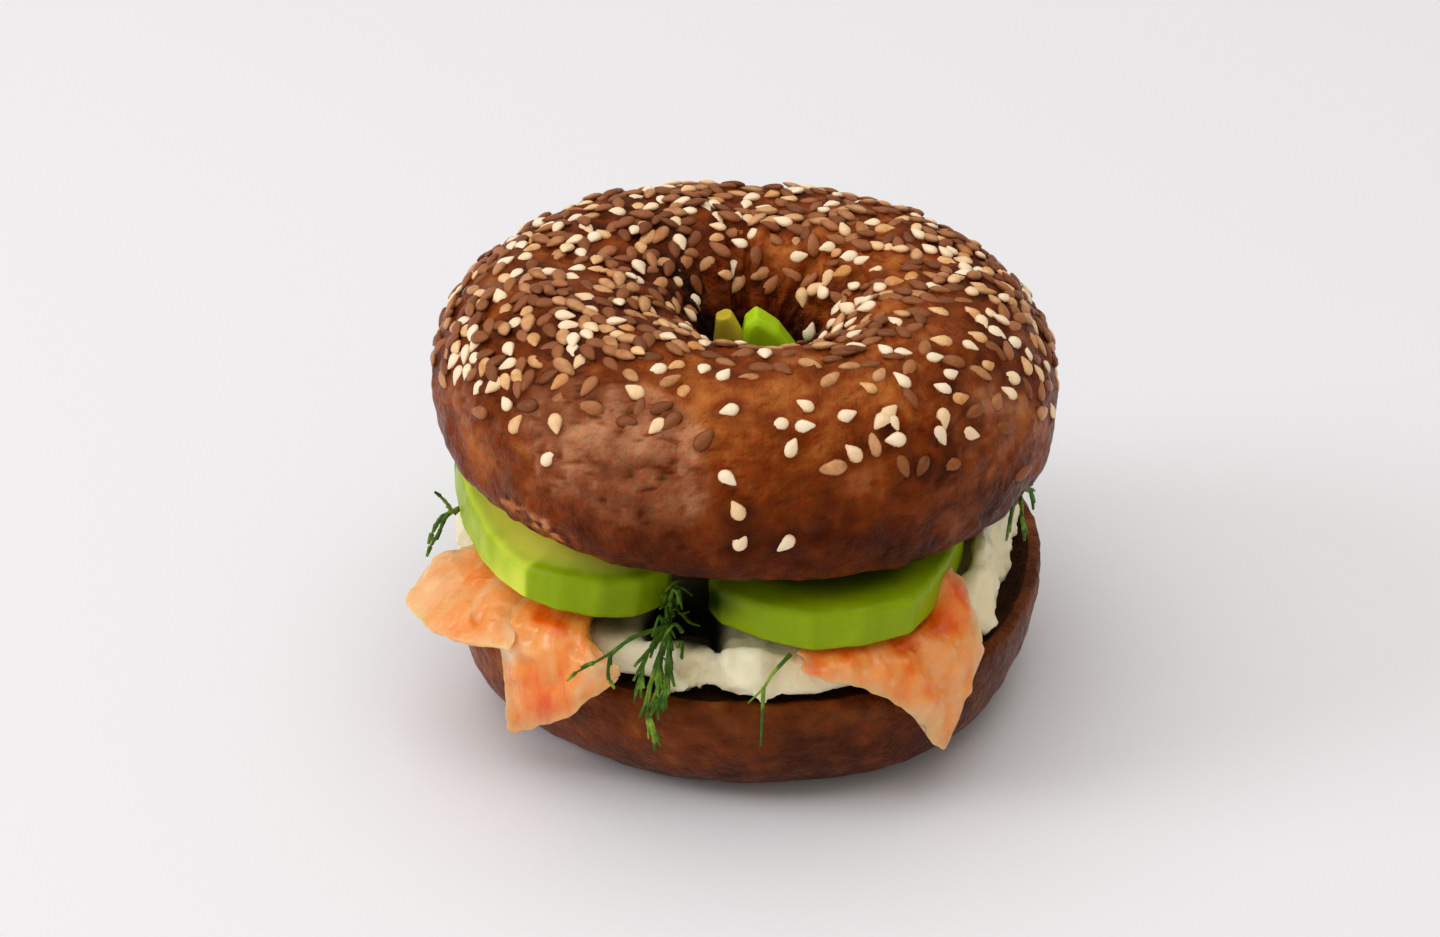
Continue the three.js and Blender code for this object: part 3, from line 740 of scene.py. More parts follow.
bpy.ops.object.select_all(action="DESELECT")
bpy.ops.mesh.primitive_torus_add(
    major_segments=560, minor_segments=224, major_radius=SECTION_MIDDLE * MM, minor_radius=SECTION_HALF * MM,
)
crown = named("crown_bread")
for v in crown.data.vertices:
    direction = math.degrees(math.atan2(v.co.y, v.co.x))
    turn = math.degrees(math.atan2(v.co.z, math.hypot(v.co.x, v.co.y) - SECTION_MIDDLE * MM))
    v.co = crown_point(direction, turn) * MM
bpy.ops.object.mode_set(mode="EDIT")
bpy.ops.mesh.select_all(action="SELECT")
bpy.ops.mesh.bisect(plane_co=(0, 0, -CROWN_DROP * MM), plane_no=(0, 0, 1), clear_inner=True)
bpy.ops.mesh.bridge_edge_loops(number_cuts=22, interpolation="LINEAR")
bpy.ops.object.mode_set(mode="OBJECT")
mend(crown)
print("crown cut and bridged:", len(crown.data.polygons), "faces")

# %% [markdown]
# ## Patches of the crown
# The photograph shows where the crust glows under its glaze, with painted highlights where light catches the
# back wall of the hole and the top right, where it went dull and leathery with a painted sheen, and where its
# pale edge tore low on the left. These are spots at pixels of the photograph. The relief and the colours are
# worked out in the crown's own frame, before it is tipped onto the fillings, so its place is set here too.

# %% Place the crown and its patches
CROWN_MIDDLE = 52.0
CROWN_TILT = 2.6
CROWN_ASIDE = -1.0
CROWN_PLACE = Matrix.Translation(HOLE + Vector((CROWN_ASIDE, 0, CROWN_MIDDLE)) * MM) @ Matrix.Rotation(
    math.radians(CROWN_TILT), 4, "Y"
)
# Glazed patches, with painted highlights among them on the back wall of the hole and at the top right.
GLAZE_AND_HIGHLIGHT = [
    (800, 400, 50, 0.14), (890, 400, 30, 0.16), (480, 470, 36, 0.2), (905, 320, 70, 0.24),
    (820, 220, 80, 0.2), (790, 490, 60, -0.12), (950, 500, 60, 0.04), (755, 262, 44, 0.26),
    (905, 250, 50, 0.16), (640, 540, 70, -0.06), (1040, 430, 36, 0.3), (1030, 480, 30, 0.2),
    (835, 290, 34, 0.26), (790, 258, 30, 0.16), (700, 250, 30, 0.1),
]
# Leathery patches, dull, with a painted sheen in their colour.
LEATHER_AND_SHEEN = [(610, 450, 70, 0.9), (560, 410, 50, 0.6), (670, 490, 50, 0.5), (470, 400, 30, 0.4)]
CREASED = [
    (860, 290, 60, 0.6), (755, 255, 50, 0.8), (520, 330, 60, 0.5), (930, 440, 60, 0.5), (740, 520, 60, 0.4),
]
TORN = [
    (507, 500, 6, 0.9), (518, 509, 6, 1.0), (530, 518, 6, 0.7), (541, 525, 7, 1.1), (553, 534, 6, 0.8),
    (566, 541, 6, 0.7),
]


def leather_share(point):
    """1 in the middle of the leathery, creased patches, 0.2 away from them. The point is in the crown's
    frame.
    """
    return min(1.0, 0.2 + spots(CROWN_PLACE @ point, LEATHER_AND_SHEEN + CREASED))


print("patches:", len(GLAZE_AND_HIGHLIGHT), "glazed,", len(LEATHER_AND_SHEEN), "leathery,", len(CREASED), "creased")

# %% [markdown]
# ## Relief of the crown
# Baked dough is never smooth. It has broad swells and finer wrinkles all over, deeper creases in the leathery
# patches, and folds that run down into the hole, where the ring was pulled tight. The rim of the hole has
# sunk in front, and the crest is a little flat at the back.

# %% Raise the relief of the crown
# Lumps are a height, a size in millimetres and a number.
CROWN_SWELLS = [(0.5, 15, 11), (0.42, 6.5, 12), (0.4, 3, 13)]
CROWN_WRINKLES = [(0.5, 4.2, 16), (0.42, 2.0, 17)]
CROWN_CREASES = [(1.3, 4.6, 18), (0.8, 2.3, 19)]
CROWN_FACE_LUMPS = [(0.35, 4, 14), (0.25, 1.6, 15)]
FOLD_HEIGHT = 0.7
SUNK_RIM = 2.6
FLAT_BACK = 1.2


def hole_folds(point, direction):
    """Folds of two kinds, 14 broad and 31 narrow ones all the way round, that wander with the lumps."""
    broad = math.sin(math.radians(14 * direction) + 2.6 * lumps(point, 9, 20))
    narrow = math.sin(math.radians(31 * direction) + 3.4 * lumps(point, 7, 21))
    return FOLD_HEIGHT * (0.4 + 0.6 * hump(direction, 70, 80)) * (broad + 0.6 * narrow)


def crown_height(point):
    """Relief of the crust in millimetres, at a point in the crown's own frame."""
    direction = math.degrees(math.atan2(point.y, point.x))
    radius, height = math.hypot(point.x, point.y) / MM, point.z / MM
    above_cut = smooth(height, -6, 4)
    near_hole = (1 - smooth(radius, 17, 30)) * above_cut
    cut_edge = 1 - smooth(height, -7, -3.5)
    wrinkles = sum(rise * (0.5 - abs(lumps(point, size, other))) for rise, size, other in CROWN_WRINKLES)
    rim = smooth(radius, 8, 11) * (1 - smooth(radius, 15, 27)) * smooth(height, 2, 12)
    crest = smooth(radius, 22, 32) * (1 - smooth(radius, 44, 51)) * smooth(height, 6, 14)
    raised = lumpy(point, CROWN_SWELLS) + near_hole * hole_folds(point, direction)
    raised += 0.35 * cut_edge * lumps(point, 2.6, 9) + wrinkles * above_cut
    return raised - SUNK_RIM * hump(direction, -84, 50) * rim - FLAT_BACK * hump(direction, 88, 32) * crest


def crown_relief(point, normal):
    if normal.z < -0.8:
        return lumpy(point, CROWN_FACE_LUMPS)
    creases = sum(depth * (abs(lumps(point, size, other)) - 0.2) for depth, size, other in CROWN_CREASES)
    return crown_height(point) + leather_share(point) * creases


relief(crown, crown_relief)
print("crown is", round(crown.dimensions.z / MM, 1), "mm high")

# %% [markdown]
# ## Colours of the crown
# Painted light makes the crust lightest on top and in front, painted shade darkens it low down and makes it
# nearly black in the hole. The seen patches are added to that, and fine mottling breaks it up. The cut face
# gets the crumb.

# %% Colour the crown
CROWN_MOTTLE = [(0.16, 3.4, 24), (0.14, 1.8, 25)]


def crown_tone(point, normal):
    """Bake and shading, and dullness and sheen, of the crust, at a point in the crown's own frame."""
    direction = math.degrees(math.atan2(point.y, point.x))
    radius, height = math.hypot(point.x, point.y) / MM, point.z / MM
    outside = smooth(radius, 20, 34)
    front = hump(direction, -88, 52)
    # Painted light: lighter higher up, and more so in front. The mottling is the crust's own.
    bake_and_shading = 0.27 + lerp(0.3, 0.4, front) * smooth(height, -6, 15) + lumpy(point, CROWN_MOTTLE)
    # Painted light at the left and in front on the left, painted shade low on the right.
    bake_and_shading += 0.2 * hump(direction, -170, 60) * outside
    bake_and_shading += 0.12 * hump(direction, -108, 22) * smooth(height, -4, 2) * outside
    bake_and_shading -= 0.06 * hump(direction, -35, 45) * (1 - smooth(height, 2, 17)) * outside
    # Painted shade in the hole, most of all on its left.
    inside_hole = (1 - smooth(radius, 12, 24)) * (1 - smooth(height, 2, 20))
    bake_and_shading -= (0.5 + 0.5 * hump(direction, 175, 70)) * inside_hole
    dull_and_sheen = 0.12 + 0.35 * hump(direction, 30, 50) + 0.4 * hump(direction, -40, 30) * outside
    if normal.y < 0.5:
        seen = CROWN_PLACE @ point
        glaze_and_highlight, tear = spots(seen, GLAZE_AND_HIGHLIGHT), spots(seen, TORN)
        # Painted shade in the creases of the leathery patches.
        crease_shade = 1 - smooth(abs(lumps(point, 4.6, 18)), 0, 0.07)
        bake_and_shading += glaze_and_highlight + tear * (0.7 + 2.2 * lumps(point, 1.5, 26)) - 0.3 * leather_share(point) * crease_shade
        dull_and_sheen += spots(seen, LEATHER_AND_SHEEN) - 1.5 * glaze_and_highlight + 0.5 * tear
    return bake_and_shading, dull_and_sheen


crown.data.materials.append(crust)
crown.data.materials.append(crumb)
for face in crown.data.polygons:
    face.material_index = 1 if face.normal.z < -0.75 else 0
mark_crust_tone(crown, crown_tone)
crown.data.transform(CROWN_PLACE)
belongs(crown, "crust", "crown")

# %% [markdown]
# ## Seeds
# Two kinds lie on the crown: pale sesame, flat drops about 3.4 mm long, and browner, longer flax. Each is
# modelled once, from a small sphere that is flattened and drawn in towards one tip. It has few faces, because
# hundreds of copies follow. Its edge is marked, since the thin edge of a seed is darker than its middle.

# %% Model one seed of each kind
# Length, width and thickness in millimetres, and how full the base and the tip are.
SEED_SIZES = {"sesame": (3.4, 2.4, 1.1), "flax": (4.2, 2.45, 1.25)}
SEED_ENDS = {"sesame": (1.08, 0.5), "flax": (1.04, 0.7)}


def model_seed(kind):
    """A flat drop along Y."""
    length, width, thickness = SEED_SIZES[kind]
    base, tip = SEED_ENDS[kind]
    bpy.ops.object.select_all(action="DESELECT")
    bpy.ops.mesh.primitive_uv_sphere_add(segments=8, ring_count=7, radius=0.5, rotation=(math.pi / 2, 0, 0))
    seed = named(kind)
    bpy.ops.object.transform_apply(rotation=True)
    mark(seed, "rim", [1 - smooth(abs(v.co.z), 0.05, 0.35) for v in seed.data.vertices])
    for v in seed.data.vertices:
        share = lerp(base, tip, smooth(v.co.y, -0.2, 0.5))
        v.co.x *= share
        v.co.z *= share
    seed.scale = (width * MM, length * MM, thickness * MM)
    bpy.ops.object.transform_apply(scale=True)
    return seed


for kind in SEED_SIZES:
    seed = model_seed(kind)
    print(kind, "has", len(seed.data.polygons), "faces")

# %% [markdown]
# ## Laying seeds
# A seed lies flat on the crust, turned at random, and sinks in a little, because the dough was soft when the
# seeds went on. Particles could scatter seeds, but not lay each at a place of its own. So every seed gets its
# own frame, made from the crust's normal and the way that the seed points.

# %% Find the crust and lay a seed on it
# How far the middle of a seed stands above the crust, as a share of its thickness.
SEED_STAND = {"sesame": 0.24, "flax": 0.12}
SEED_GROWTH = (0.88, 1.1)
SEED_SPAN = 1.3
crust_tree = BVHTree.FromPolygons(
    [v.co.copy() for v in crown.data.vertices], [list(face.vertices) for face in crown.data.polygons]
)
laid = {"sesame": [], "flax": []}
chance = random.Random(7)


def lay(kind, point, normal, pointing, lift=0.0, tilt=0.0):
    """Notes the place of one seed: its matrix and a tone that makes each seed a little different."""
    across = pointing.cross(normal).normalized()
    length_way = normal.cross(across).normalized()
    turn = Matrix((across, length_way, normal)).transposed().to_4x4()
    tipped = Matrix.Rotation(math.radians(tilt), 4, across)
    size = chance.uniform(*SEED_GROWTH)
    stand = SEED_SIZES[kind][2] * SEED_STAND[kind] + lift
    place = Matrix.Translation(point + normal * stand * MM) @ tipped @ turn @ Matrix.Scale(size, 4)
    laid[kind].append((place, chance.random()))


def smoothed_normal(point, normal):
    """The normal of the crust averaged over a seed's size, so that seeds don't follow every small lump."""
    found = [hit[1] for hit in crust_tree.find_nearest_range(point, SEED_SPAN * MM)]
    return sum(found, normal.copy()).normalized()


def seed_places():
    return [place.translation.copy() for places in laid.values() for place, tone in places]


print("crust has", len(crown.data.polygons), "faces to lay seeds on")

# %% [markdown]
# ## Seeds by sight
# On the front and the top the pattern of seeds is what one recognises. These are laid one by one, as seen:
# the place in the photograph, in pixels, and the slope of the seed there. A ray from the camera finds the
# crust, so each seed sits on it from every side.

# %% Lay the seeds that the photograph shows clearly
SEEDS_SEEN = {
    "sesame": """
648 193 60, 605 196 0, 583 198 5, 636 199 10, 660 202 40, 874 202 10, 746 206 70, 705 208 -50, 715 208 -60,
636 209 20, 616 213 -5, 737 217 70, 718 220 -60, 746 221 10, 903 221 0, 543 223 20, 872 224 5, 675 225 70,
587 230 -45, 885 230 5, 916 230 60, 680 243 -70, 973 245 -20, 827 248 15, 887 249 0, 532 250 15,
641 250 100, 799 257 10, 848 258 20, 524 259 20, 862 261 25, 962 262 -10, 506 263 30, 947 263 -20,
637 265 -20, 733 269 90, 577 270 0, 596 271 -10, 550 273 15, 842 273 20, 977 273 45, 963 275 0, 516 276 45,
616 277 -15, 573 279 -20, 828 279 70, 912 280 100, 506 281 -60, 635 281 -25, 675 283 10, 895 283 0,
933 288 0, 978 288 -30, 816 289 30, 1007 290 -45, 482 295 10, 500 297 -70, 1025 297 -60, 803 298 95,
585 299 -15, 693 299 -50, 636 302 15, 867 308 20, 589 311 -20, 526 314 45, 972 314 -40, 689 315 -40,
466 322 30, 895 323 -30, 982 323 -60, 834 324 30, 514 327 50, 569 327 5, 1032 327 -60, 625 330 -10,
810 331 70, 996 334 -35, 823 338 40, 977 338 -25, 702 341 -30, 1031 341 -60, 941 342 -10, 476 344 60,
1012 344 20, 970 347 -25, 696 348 -20, 573 351 -80, 885 351 -35, 455 361 60, 580 363 50, 508 366 20,
1025 366 -60, 676 367 20, 485 368 70, 657 371 20, 468 373 75, 459 376 70, 724 376 50, 1010 378 -20,
901 381 -45, 507 383 -70, 560 383 40, 494 386 45, 479 389 60, 942 389 -20, 635 392 -30, 1008 393 -35,
683 394 60, 960 399 15, 507 404 -60, 805 406 -30, 1050 410 -75, 729 411 12, 889 413 45, 847 416 20,
943 419 -80, 881 422 50, 893 423 -60, 517 424 55, 556 424 -80, 779 425 15, 657 427 45, 805 427 5,
970 434 -15, 940 436 -60, 895 440 5, 791 448 65, 853 453 -45, 549 458 50, 728 479 -35, 737 510 -60,
741 541 60, 785 543 45
""",
    "flax": """
558 209 10, 817 217 0, 852 225 45, 807 226 50, 568 239 -5, 856 239 10, 909 241 -60, 756 257 90, 526 281 45,
877 285 20, 545 287 15, 621 289 -30, 952 289 -5, 603 291 -20, 562 293 10, 918 296 -10, 892 299 -5,
931 301 -20, 945 302 -5, 547 304 0, 918 314 -10, 547 320 35, 658 326 0, 604 331 -10, 863 333 -15,
903 333 -45, 598 345 -15, 551 348 10, 625 350 -80, 995 352 -45, 742 355 10, 650 359 0, 952 362 -10,
810 365 -10, 762 369 -5, 908 370 60, 980 374 -30, 749 379 0, 528 381 70, 589 387 50, 560 400 20, 528 406 0,
591 408 -15, 640 408 80, 662 408 20, 974 412 35, 627 422 -10, 671 422 40, 1005 428 0, 704 440 50,
874 445 -75, 950 465 15, 903 466 -70, 922 466 60, 833 468 10, 1022 472 40
""",
}
# A seen seed leans towards the camera by this much, because one that lay edge on wouldn't be clear.
LEAN_TO_CAMERA = 0.3


def lay_by_sight(kind, x, y, slope):
    way = sight(x, y).normalized()
    point, normal, face, distance = crust_tree.ray_cast(camera.location, way)
    if point is None:
        return
    normal = (smoothed_normal(point, normal) - LEAN_TO_CAMERA * way).normalized()
    a = math.radians(slope)
    shown = Vector((math.cos(a), 0, 0)) + up * math.sin(a)
    pointing = shown - way * (shown.dot(normal) / way.dot(normal))
    if chance.random() < 0.5:
        pointing = -pointing
    lay(kind, point, normal, pointing, tilt=chance.uniform(-6, 6))


for kind, listed in SEEDS_SEEN.items():
    for entry in listed.split(","):
        lay_by_sight(kind, *(float(number) for number in entry.split()))
print("laid by sight:", {kind: len(places) for kind, places in laid.items()})

# %% [markdown]
# ## Where seeds lie thick
# The rest are sown by rule. They lie thick on the left, the back, the right and the top, and thin out low in
# front. To keep its distance from the others, a new seed only looks into the cells of a grid round it, which
# is much quicker than measuring to all of them.

# %% Say how closely seeds lie, and find the ones near a point
SEED_CELL = 4


def seed_share(direction, turn):
    """How closely seeds lie, from 0 to 1."""
    lowest = lerp(6, 88, hump(direction, -88, 50))
    crust_share = smooth(turn, lowest - 12, lowest + 14)
    hole_share = 1 - smooth(turn, 132, 158)
    thin = 1 - 0.55 * hump(direction, -40, 30) * (1 - smooth(turn, 75, 100))
    return crust_share * hole_share * thin


def cell_of(point):
    return tuple(int(c // (SEED_CELL * MM)) for c in point)


def near_in(cells, point):
    """The points in the cell of a point and in the 26 cells round it."""
    x, y, z = cell_of(point)
    steps = (-1, 0, 1)
    around = [(x + i, y + j, z + k) for i in steps for j in steps for k in steps]
    return [found for cell in around for found in cells.get(cell, [])]


print("seeds at the back and in front:", round(seed_share(90, 90), 2), round(seed_share(-88, 60), 2))

# %% [markdown]
# ## Sowing the rest
# Each seed keeps its distance from the ones already there, less so where they lie thick. A seed that still
# lands on another is lifted and tipped, as in a real heap.

# %% Sow the other seeds
SEEDS_IN_ALL = 980
SOWING_TRIES = 60000
SESAME_SHARE = 0.27
# The least room between seeds in millimetres, where they lie thin and where they lie thick.
ROOM_THIN, ROOM_THICK = 3.7, 1.65
# With less room than this, a seed lies on another. It is lifted by up to this much.
CROWDED_UNDER = 3.0
HEAPED_LIFT = 0.6
HEAPED_TILT = 7
# Seeds gather in patches of this size. Between the patches at least this share of them stays.
PATCH_SIZE = 8
PATCH_LEAST = 0.35


def sow():
    cells = {}
    for point in seed_places():
        cells.setdefault(cell_of(point), []).append(point)
    count = sum(len(points) for points in cells.values())
    for _ in range(SOWING_TRIES):
        if count >= SEEDS_IN_ALL:
            break
        direction, turn = chance.uniform(-180, 180), chance.uniform(-4, 160)
        spot = crown_point(direction, turn)
        share = seed_share(direction, turn)
        if chance.random() > share * math.hypot(*spot.xy) / CROWN_RADIUS:
            continue
        guess = CROWN_PLACE @ (spot * MM)
        share *= lerp(PATCH_LEAST, 1, smooth(lumps(guess, PATCH_SIZE, 71), -0.4, 0.15))
        point, normal, face, distance = crust_tree.find_nearest(guess)
        room = min([(point - other).length / MM for other in near_in(cells, point)], default=9)
        if room < lerp(ROOM_THIN, ROOM_THICK, share):
            continue
        kind = "sesame" if chance.random() < SESAME_SHARE else "flax"
        a = math.radians(direction)
        stray = Vector((chance.uniform(-1, 1), chance.uniform(-1, 1), chance.uniform(-1, 1)))
        pointing = Vector((-math.sin(a), math.cos(a), 0)) * share + stray * 0.8
        crowded = smooth(CROWDED_UNDER - room, 0, 1.3)
        tilt = chance.uniform(-HEAPED_TILT, HEAPED_TILT) * (1 + crowded)
        lay(kind, point, smoothed_normal(point, normal), pointing, HEAPED_LIFT * crowded, tilt)
        cells.setdefault(cell_of(point), []).append(point)
        count += 1


sow()
print("seeds in all:", {kind: len(places) for kind, places in laid.items()})

# %% [markdown]
# ## Crust round the seeds
# The seeds were pressed in while the dough was wet. The crust stands up round each seed and holds it. So each
# vertex near a seed is raised a little, and where seeds lie close together a painted shade darkens the crust.

# %% Raise and darken the crust round the seeds
SEED_REACH = 3.4
SEED_WALL = 0.45
SEED_WALL_WIDTH = 1.7
# Seeds all round count as a full crowd at this sum of their nearness.
FULL_CROWD = 1.8
CROWD_SHADE = 0.5


def settle_seeds():
    tree = search_tree(seed_places())
    bakes_and_shading = crown.data.attributes["bake_and_shading"].data
    normals = [v.normal.copy() for v in crown.data.vertices]
    for v, normal in zip(crown.data.vertices, normals):
        near = [distance / MM for place, i, distance in tree.find_range(v.co, SEED_REACH * MM)]
        if near:
            crowd = min(1.0, sum(1 - distance / SEED_REACH for distance in near) / FULL_CROWD)
            # Painted shade between seeds that lie close together.
            bakes_and_shading[v.index].value -= CROWD_SHADE * crowd
            v.co += normal * SEED_WALL * math.exp(-((min(near) / SEED_WALL_WIDTH) ** 2)) * MM
    crown.data.update()


settle_seeds()
print("seeds settled into", len(crown.data.vertices), "vertices")

# %% [markdown]
# ## Finish of the seeds
# Hulled sesame is cream or toasted to tan. Flax is red-brown and glossier. Each seed carries a tone from 0 to
# 1, which its colour reads, so that no two neighbours match, and the marked edge mixes in a browner colour.

# %% Mix the finish of the seeds


def make_seed_finish(name, stops, edge, roughness):
    tint = paint(255, 220, 196)
    material, tree, shader = finish(name, roughness, Specular_IOR_Level=0.3, Specular_Tint=tint)
    place, skin = food_skin(tree, 1.6, 0.5, 1.0, 0.1)
    blotched = maths(tree, "ADD", times(tree, skin["Blotch"], 0.5), marked(tree, "tone"))
    body = ramp(tree, maths(tree, "SUBTRACT", blotched, 0.25), stops)
    body = mixed(tree, times(tree, marked(tree, "rim"), 0.55), body, edge)
    surfaced(tree, shader, body, skin["Grain"], 0.1)
    return material


SEED_FINISHES = {
    "sesame": make_seed_finish(
        "sesame",
        [(0.0, (255, 236, 206)), (0.5, (255, 228, 190)), (0.8, (242, 196, 142)), (1.0, (208, 142, 80))],
        paint(214, 150, 92), 0.45,
    ),
    "flax": make_seed_finish(
        "flax",
        [(0.0, (118, 62, 30)), (0.4, (146, 84, 46)), (0.75, (178, 114, 70)), (1.0, (220, 166, 114))],
        paint(84, 40, 16), 0.34,
    ),
}
print("seed finishes:", [material.name for material in SEED_FINISHES.values()])

# %% [markdown]
# ## Gathering the seeds
# Each kind becomes one piece. The one seed is copied to each of its places, every copy with its own mesh and
# its tone, and the copies are joined.

# %% Copy and join the seeds


def gather(kind, slot):
    """Copies the seed to each of its places and joins the copies into one piece."""
    pattern = bpy.data.objects[kind]
    copies = []
    for place, tone in laid[kind]:
        copy = linked(kind + "_copy", pattern.data.copy())
        copy.data.transform(place)
        mark(copy, "tone", [tone] * len(copy.data.vertices))
        copies.append(copy)
    pick(copies[0])
    for copy in copies:
        copy.select_set(True)
    bpy.ops.object.join()
    piece = named("seeds_" + kind)
    piece.data.materials.append(SEED_FINISHES[kind])
    bpy.data.objects.remove(pattern)
    belongs(piece, slot, "crown")


gather("sesame", "seed_pale")
gather("flax", "seed_brown")

# %% [markdown]
# ## Melting a solid
# Cream cheese and avocado are soft and have no seams or edges to model along. So a copy of the solid is
# remeshed into small even cells and smoothed until its facets melt. It then has the solid's place and form,
# and enough faces for relief.

# %% Melt a solid into a soft copy


def remeshed(piece, cell, rounds):
    """Small even faces, and then a few rounds of smoothing."""
    finish_with(piece, "REMESH", mode="VOXEL", voxel_size=cell * MM, use_smooth_shade=True)
    finish_with(piece, "SMOOTH", factor=0.5, iterations=rounds)


def soft_copy(node, name, cell, rounds):
    piece = new_piece(name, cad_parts[node].data.copy())
    piece.data.materials.clear()
    mend(piece, turn_outwards=False)
    remeshed(piece, cell, rounds)
    return piece


cream = soft_copy("cream_cheese", "cream_spread", 0.85, 5)
print("soft copy of the spread has", len(cream.data.polygons), "faces")

# %% [markdown]
# ## Cream cheese
# The spread was laid on with a knife, so it is lumpy, with crags where the knife lifted. It bulges at the far
# left, stands up at the right behind the salmon, and its underside draws back in front, which leaves a dark
# gap over the heel. Between the two front slices of avocado it sinks out of sight. Under the salmon it stays
# as it is, so that nothing pokes through.

# %% Shape the spread
# The salmon lies between these directions.
COVERED = [(-163, -140), (-137, -112.5), (-81, -46), (98, 140)]
# The dark gap between the front slices of avocado lies this far to the side of the hole.
GAP_ASIDE = -10.5
GAP_DEPTH = 9
LEFT_BULGE = 1.6
RIGHT_PEAK = 4.5
DRAWN_BACK = 3.2
CREAM_GRAIN = [(0.5, 3, 32), (0.4, 1.7, 33)]


def covered(direction):
    """1 where salmon lies on the cream, 0 elsewhere."""
    most = 0.0
    for low, high in COVERED:
        outside = 0 if low < direction < high else min(apart(direction, low), apart(direction, high))
        most = max(most, 1 - smooth(outside, 1.5, 5))
    return most


def from_gap(point):
    """Millimetres to the side of the middle of the dark gap."""
    return abs((point.x - HOLE.x) / MM - GAP_ASIDE)


def cream_relief(point, normal):
    direction, radius = direction_of(point), radius_of(point)
    if normal.z < -0.4:
        uneven = 0.75 + 0.7 * lumps(point, 4, 35)
        return -DRAWN_BACK * hump(direction, -98, 21) * smooth(radius, 34, 42) * uneven
    free = (1 - covered(direction)) * smooth(radius, 36, 43)
    crag = 0.6 - abs(lumps(point, 6.5, 31)) * 2.6
    height = free * (crag + 0.9 * lumps(point, 4.2, 34))
    height += LEFT_BULGE * hump(direction, -177, 9) * smooth(radius, 40, 45)
    if normal.z > 0.3:
        edge = smooth(radius, 44.5, 46.5) * (1 - smooth(radius, 47.5, 50.5))
        height += RIGHT_PEAK * hump(direction, -43, 2.5) * edge
        inside = (1 - smooth(radius, 43, 46)) * smooth(radius, 18, 23)
        height -= GAP_DEPTH * (1 - smooth(from_gap(point), 3.5, 7.5)) * inside
    return height


def cream_grain(point, normal):
    """Finer lumps, strongest low down, where the spread hangs over the heel."""
    low_down = 1 + 1.3 * smooth(-normal.z, -0.3, 0.4)
    return (1 - covered(direction_of(point))) * low_down * lumpy(point, CREAM_GRAIN)


relief(cream, cream_relief)
remeshed(cream, 0.75, 3)
relief(cream, cream_grain)
print("spread shaped:", len(cream.data.polygons), "faces")

# %% [markdown]
# ## Finish of the cream cheese
# Cream cheese is off-white, with slightly warmer blotches, and soft enough to let light in. In the gap
# between the slices of avocado and close under them a dark green shade is painted on, and a marked shade says
# where.

# %% Colour the spread
SHADED = [(590, 618, 16, 0.8), (618, 622, 18, 0.8), (645, 628, 14, 0.5), (775, 668, 14, 0.25)]


def cream_shade(point):
    inside = (1 - smooth(radius_of(point), 42.5, 46)) * smooth(-point.y / MM, 10, 20)
    return min(1.0, (1 - smooth(from_gap(point), 4.5, 8)) * inside + spots(point, SHADED))


def make_cream():
    material, tree, shader = finish(
        "cream cheese", 0.5, Subsurface_Weight=0.35, Subsurface_Scale=0.004,
        Subsurface_Radius=(1.0, 0.75, 0.4), Specular_IOR_Level=0.2,
    )
    place, skin = food_skin(tree, 9.0, 1.1, 3.4, 0.25)
    body = ramp(tree, skin["Blotch"], [(0.3, (252, 234, 190)), (0.7, (254, 243, 210))])
    # Painted shade, dark green, in the gap and under the avocado.
    body = mixed(tree, marked(tree, "shade"), body, paint(34, 36, 10))
    surfaced(tree, shader, body, skin["Height"], 0.3)
    return material


mark(cream, "shade", [cream_shade(v.co) for v in cream.data.vertices])
cream.data.materials.append(make_cream())
belongs(cream, "cream_cheese", "cream_cheese")

# %% [markdown]
# ## Smoked salmon
# Each slice is a thin wet sheet that lies on the cream, bends over its edge and hangs, with a ragged end. It
# starts as a flat grid. Rows run from the hidden end to the free one and are laid along the bend, and columns
# spread round the sandwich. A cloth simulation would drape it too, but not in the outlines that the
# photograph shows, so the drape is a formula.

# %% Drape a sheet of salmon
SALMON_THICKNESS = 2.1
SALMON_LEVEL = 29.6
# A slice hangs this far off the heel's rim.
RIM_GAP = 0.35
HANG_CLEAR = RIM_GAP + SALMON_THICKNESS / 2
ROWS, COLUMNS = 72, 60
# How far the sides of a slice stray, in degrees, and how far along it the lift of its hidden end reaches.
SIDE_STRAY = 1.3
LIFT_REACH = 0.55


def hang_radius(direction):
    return HEEL_RIM * heel_swell(direction) + HANG_CLEAR


def side_way(u, w, spread, narrow, fan, other):
    """The direction of a place on the sheet: narrower at the hidden end, fanned out at the free one."""
    tuck, free = 1 - smooth(u, 0, 0.75), smooth(u, 0.45, 1)
    direction = spread + tuck * (narrow[0] * (1 - w) - narrow[1] * w)
    direction += free * (fan[1] * w * w - fan[0] * (1 - w) ** 2)
    side = (w - 0.5) * 2
    stray = SIDE_STRAY * side ** 4 * math.copysign(1, side)
    return direction + stray * torn(u, (8, 8), (26, 11), 0.35, other)


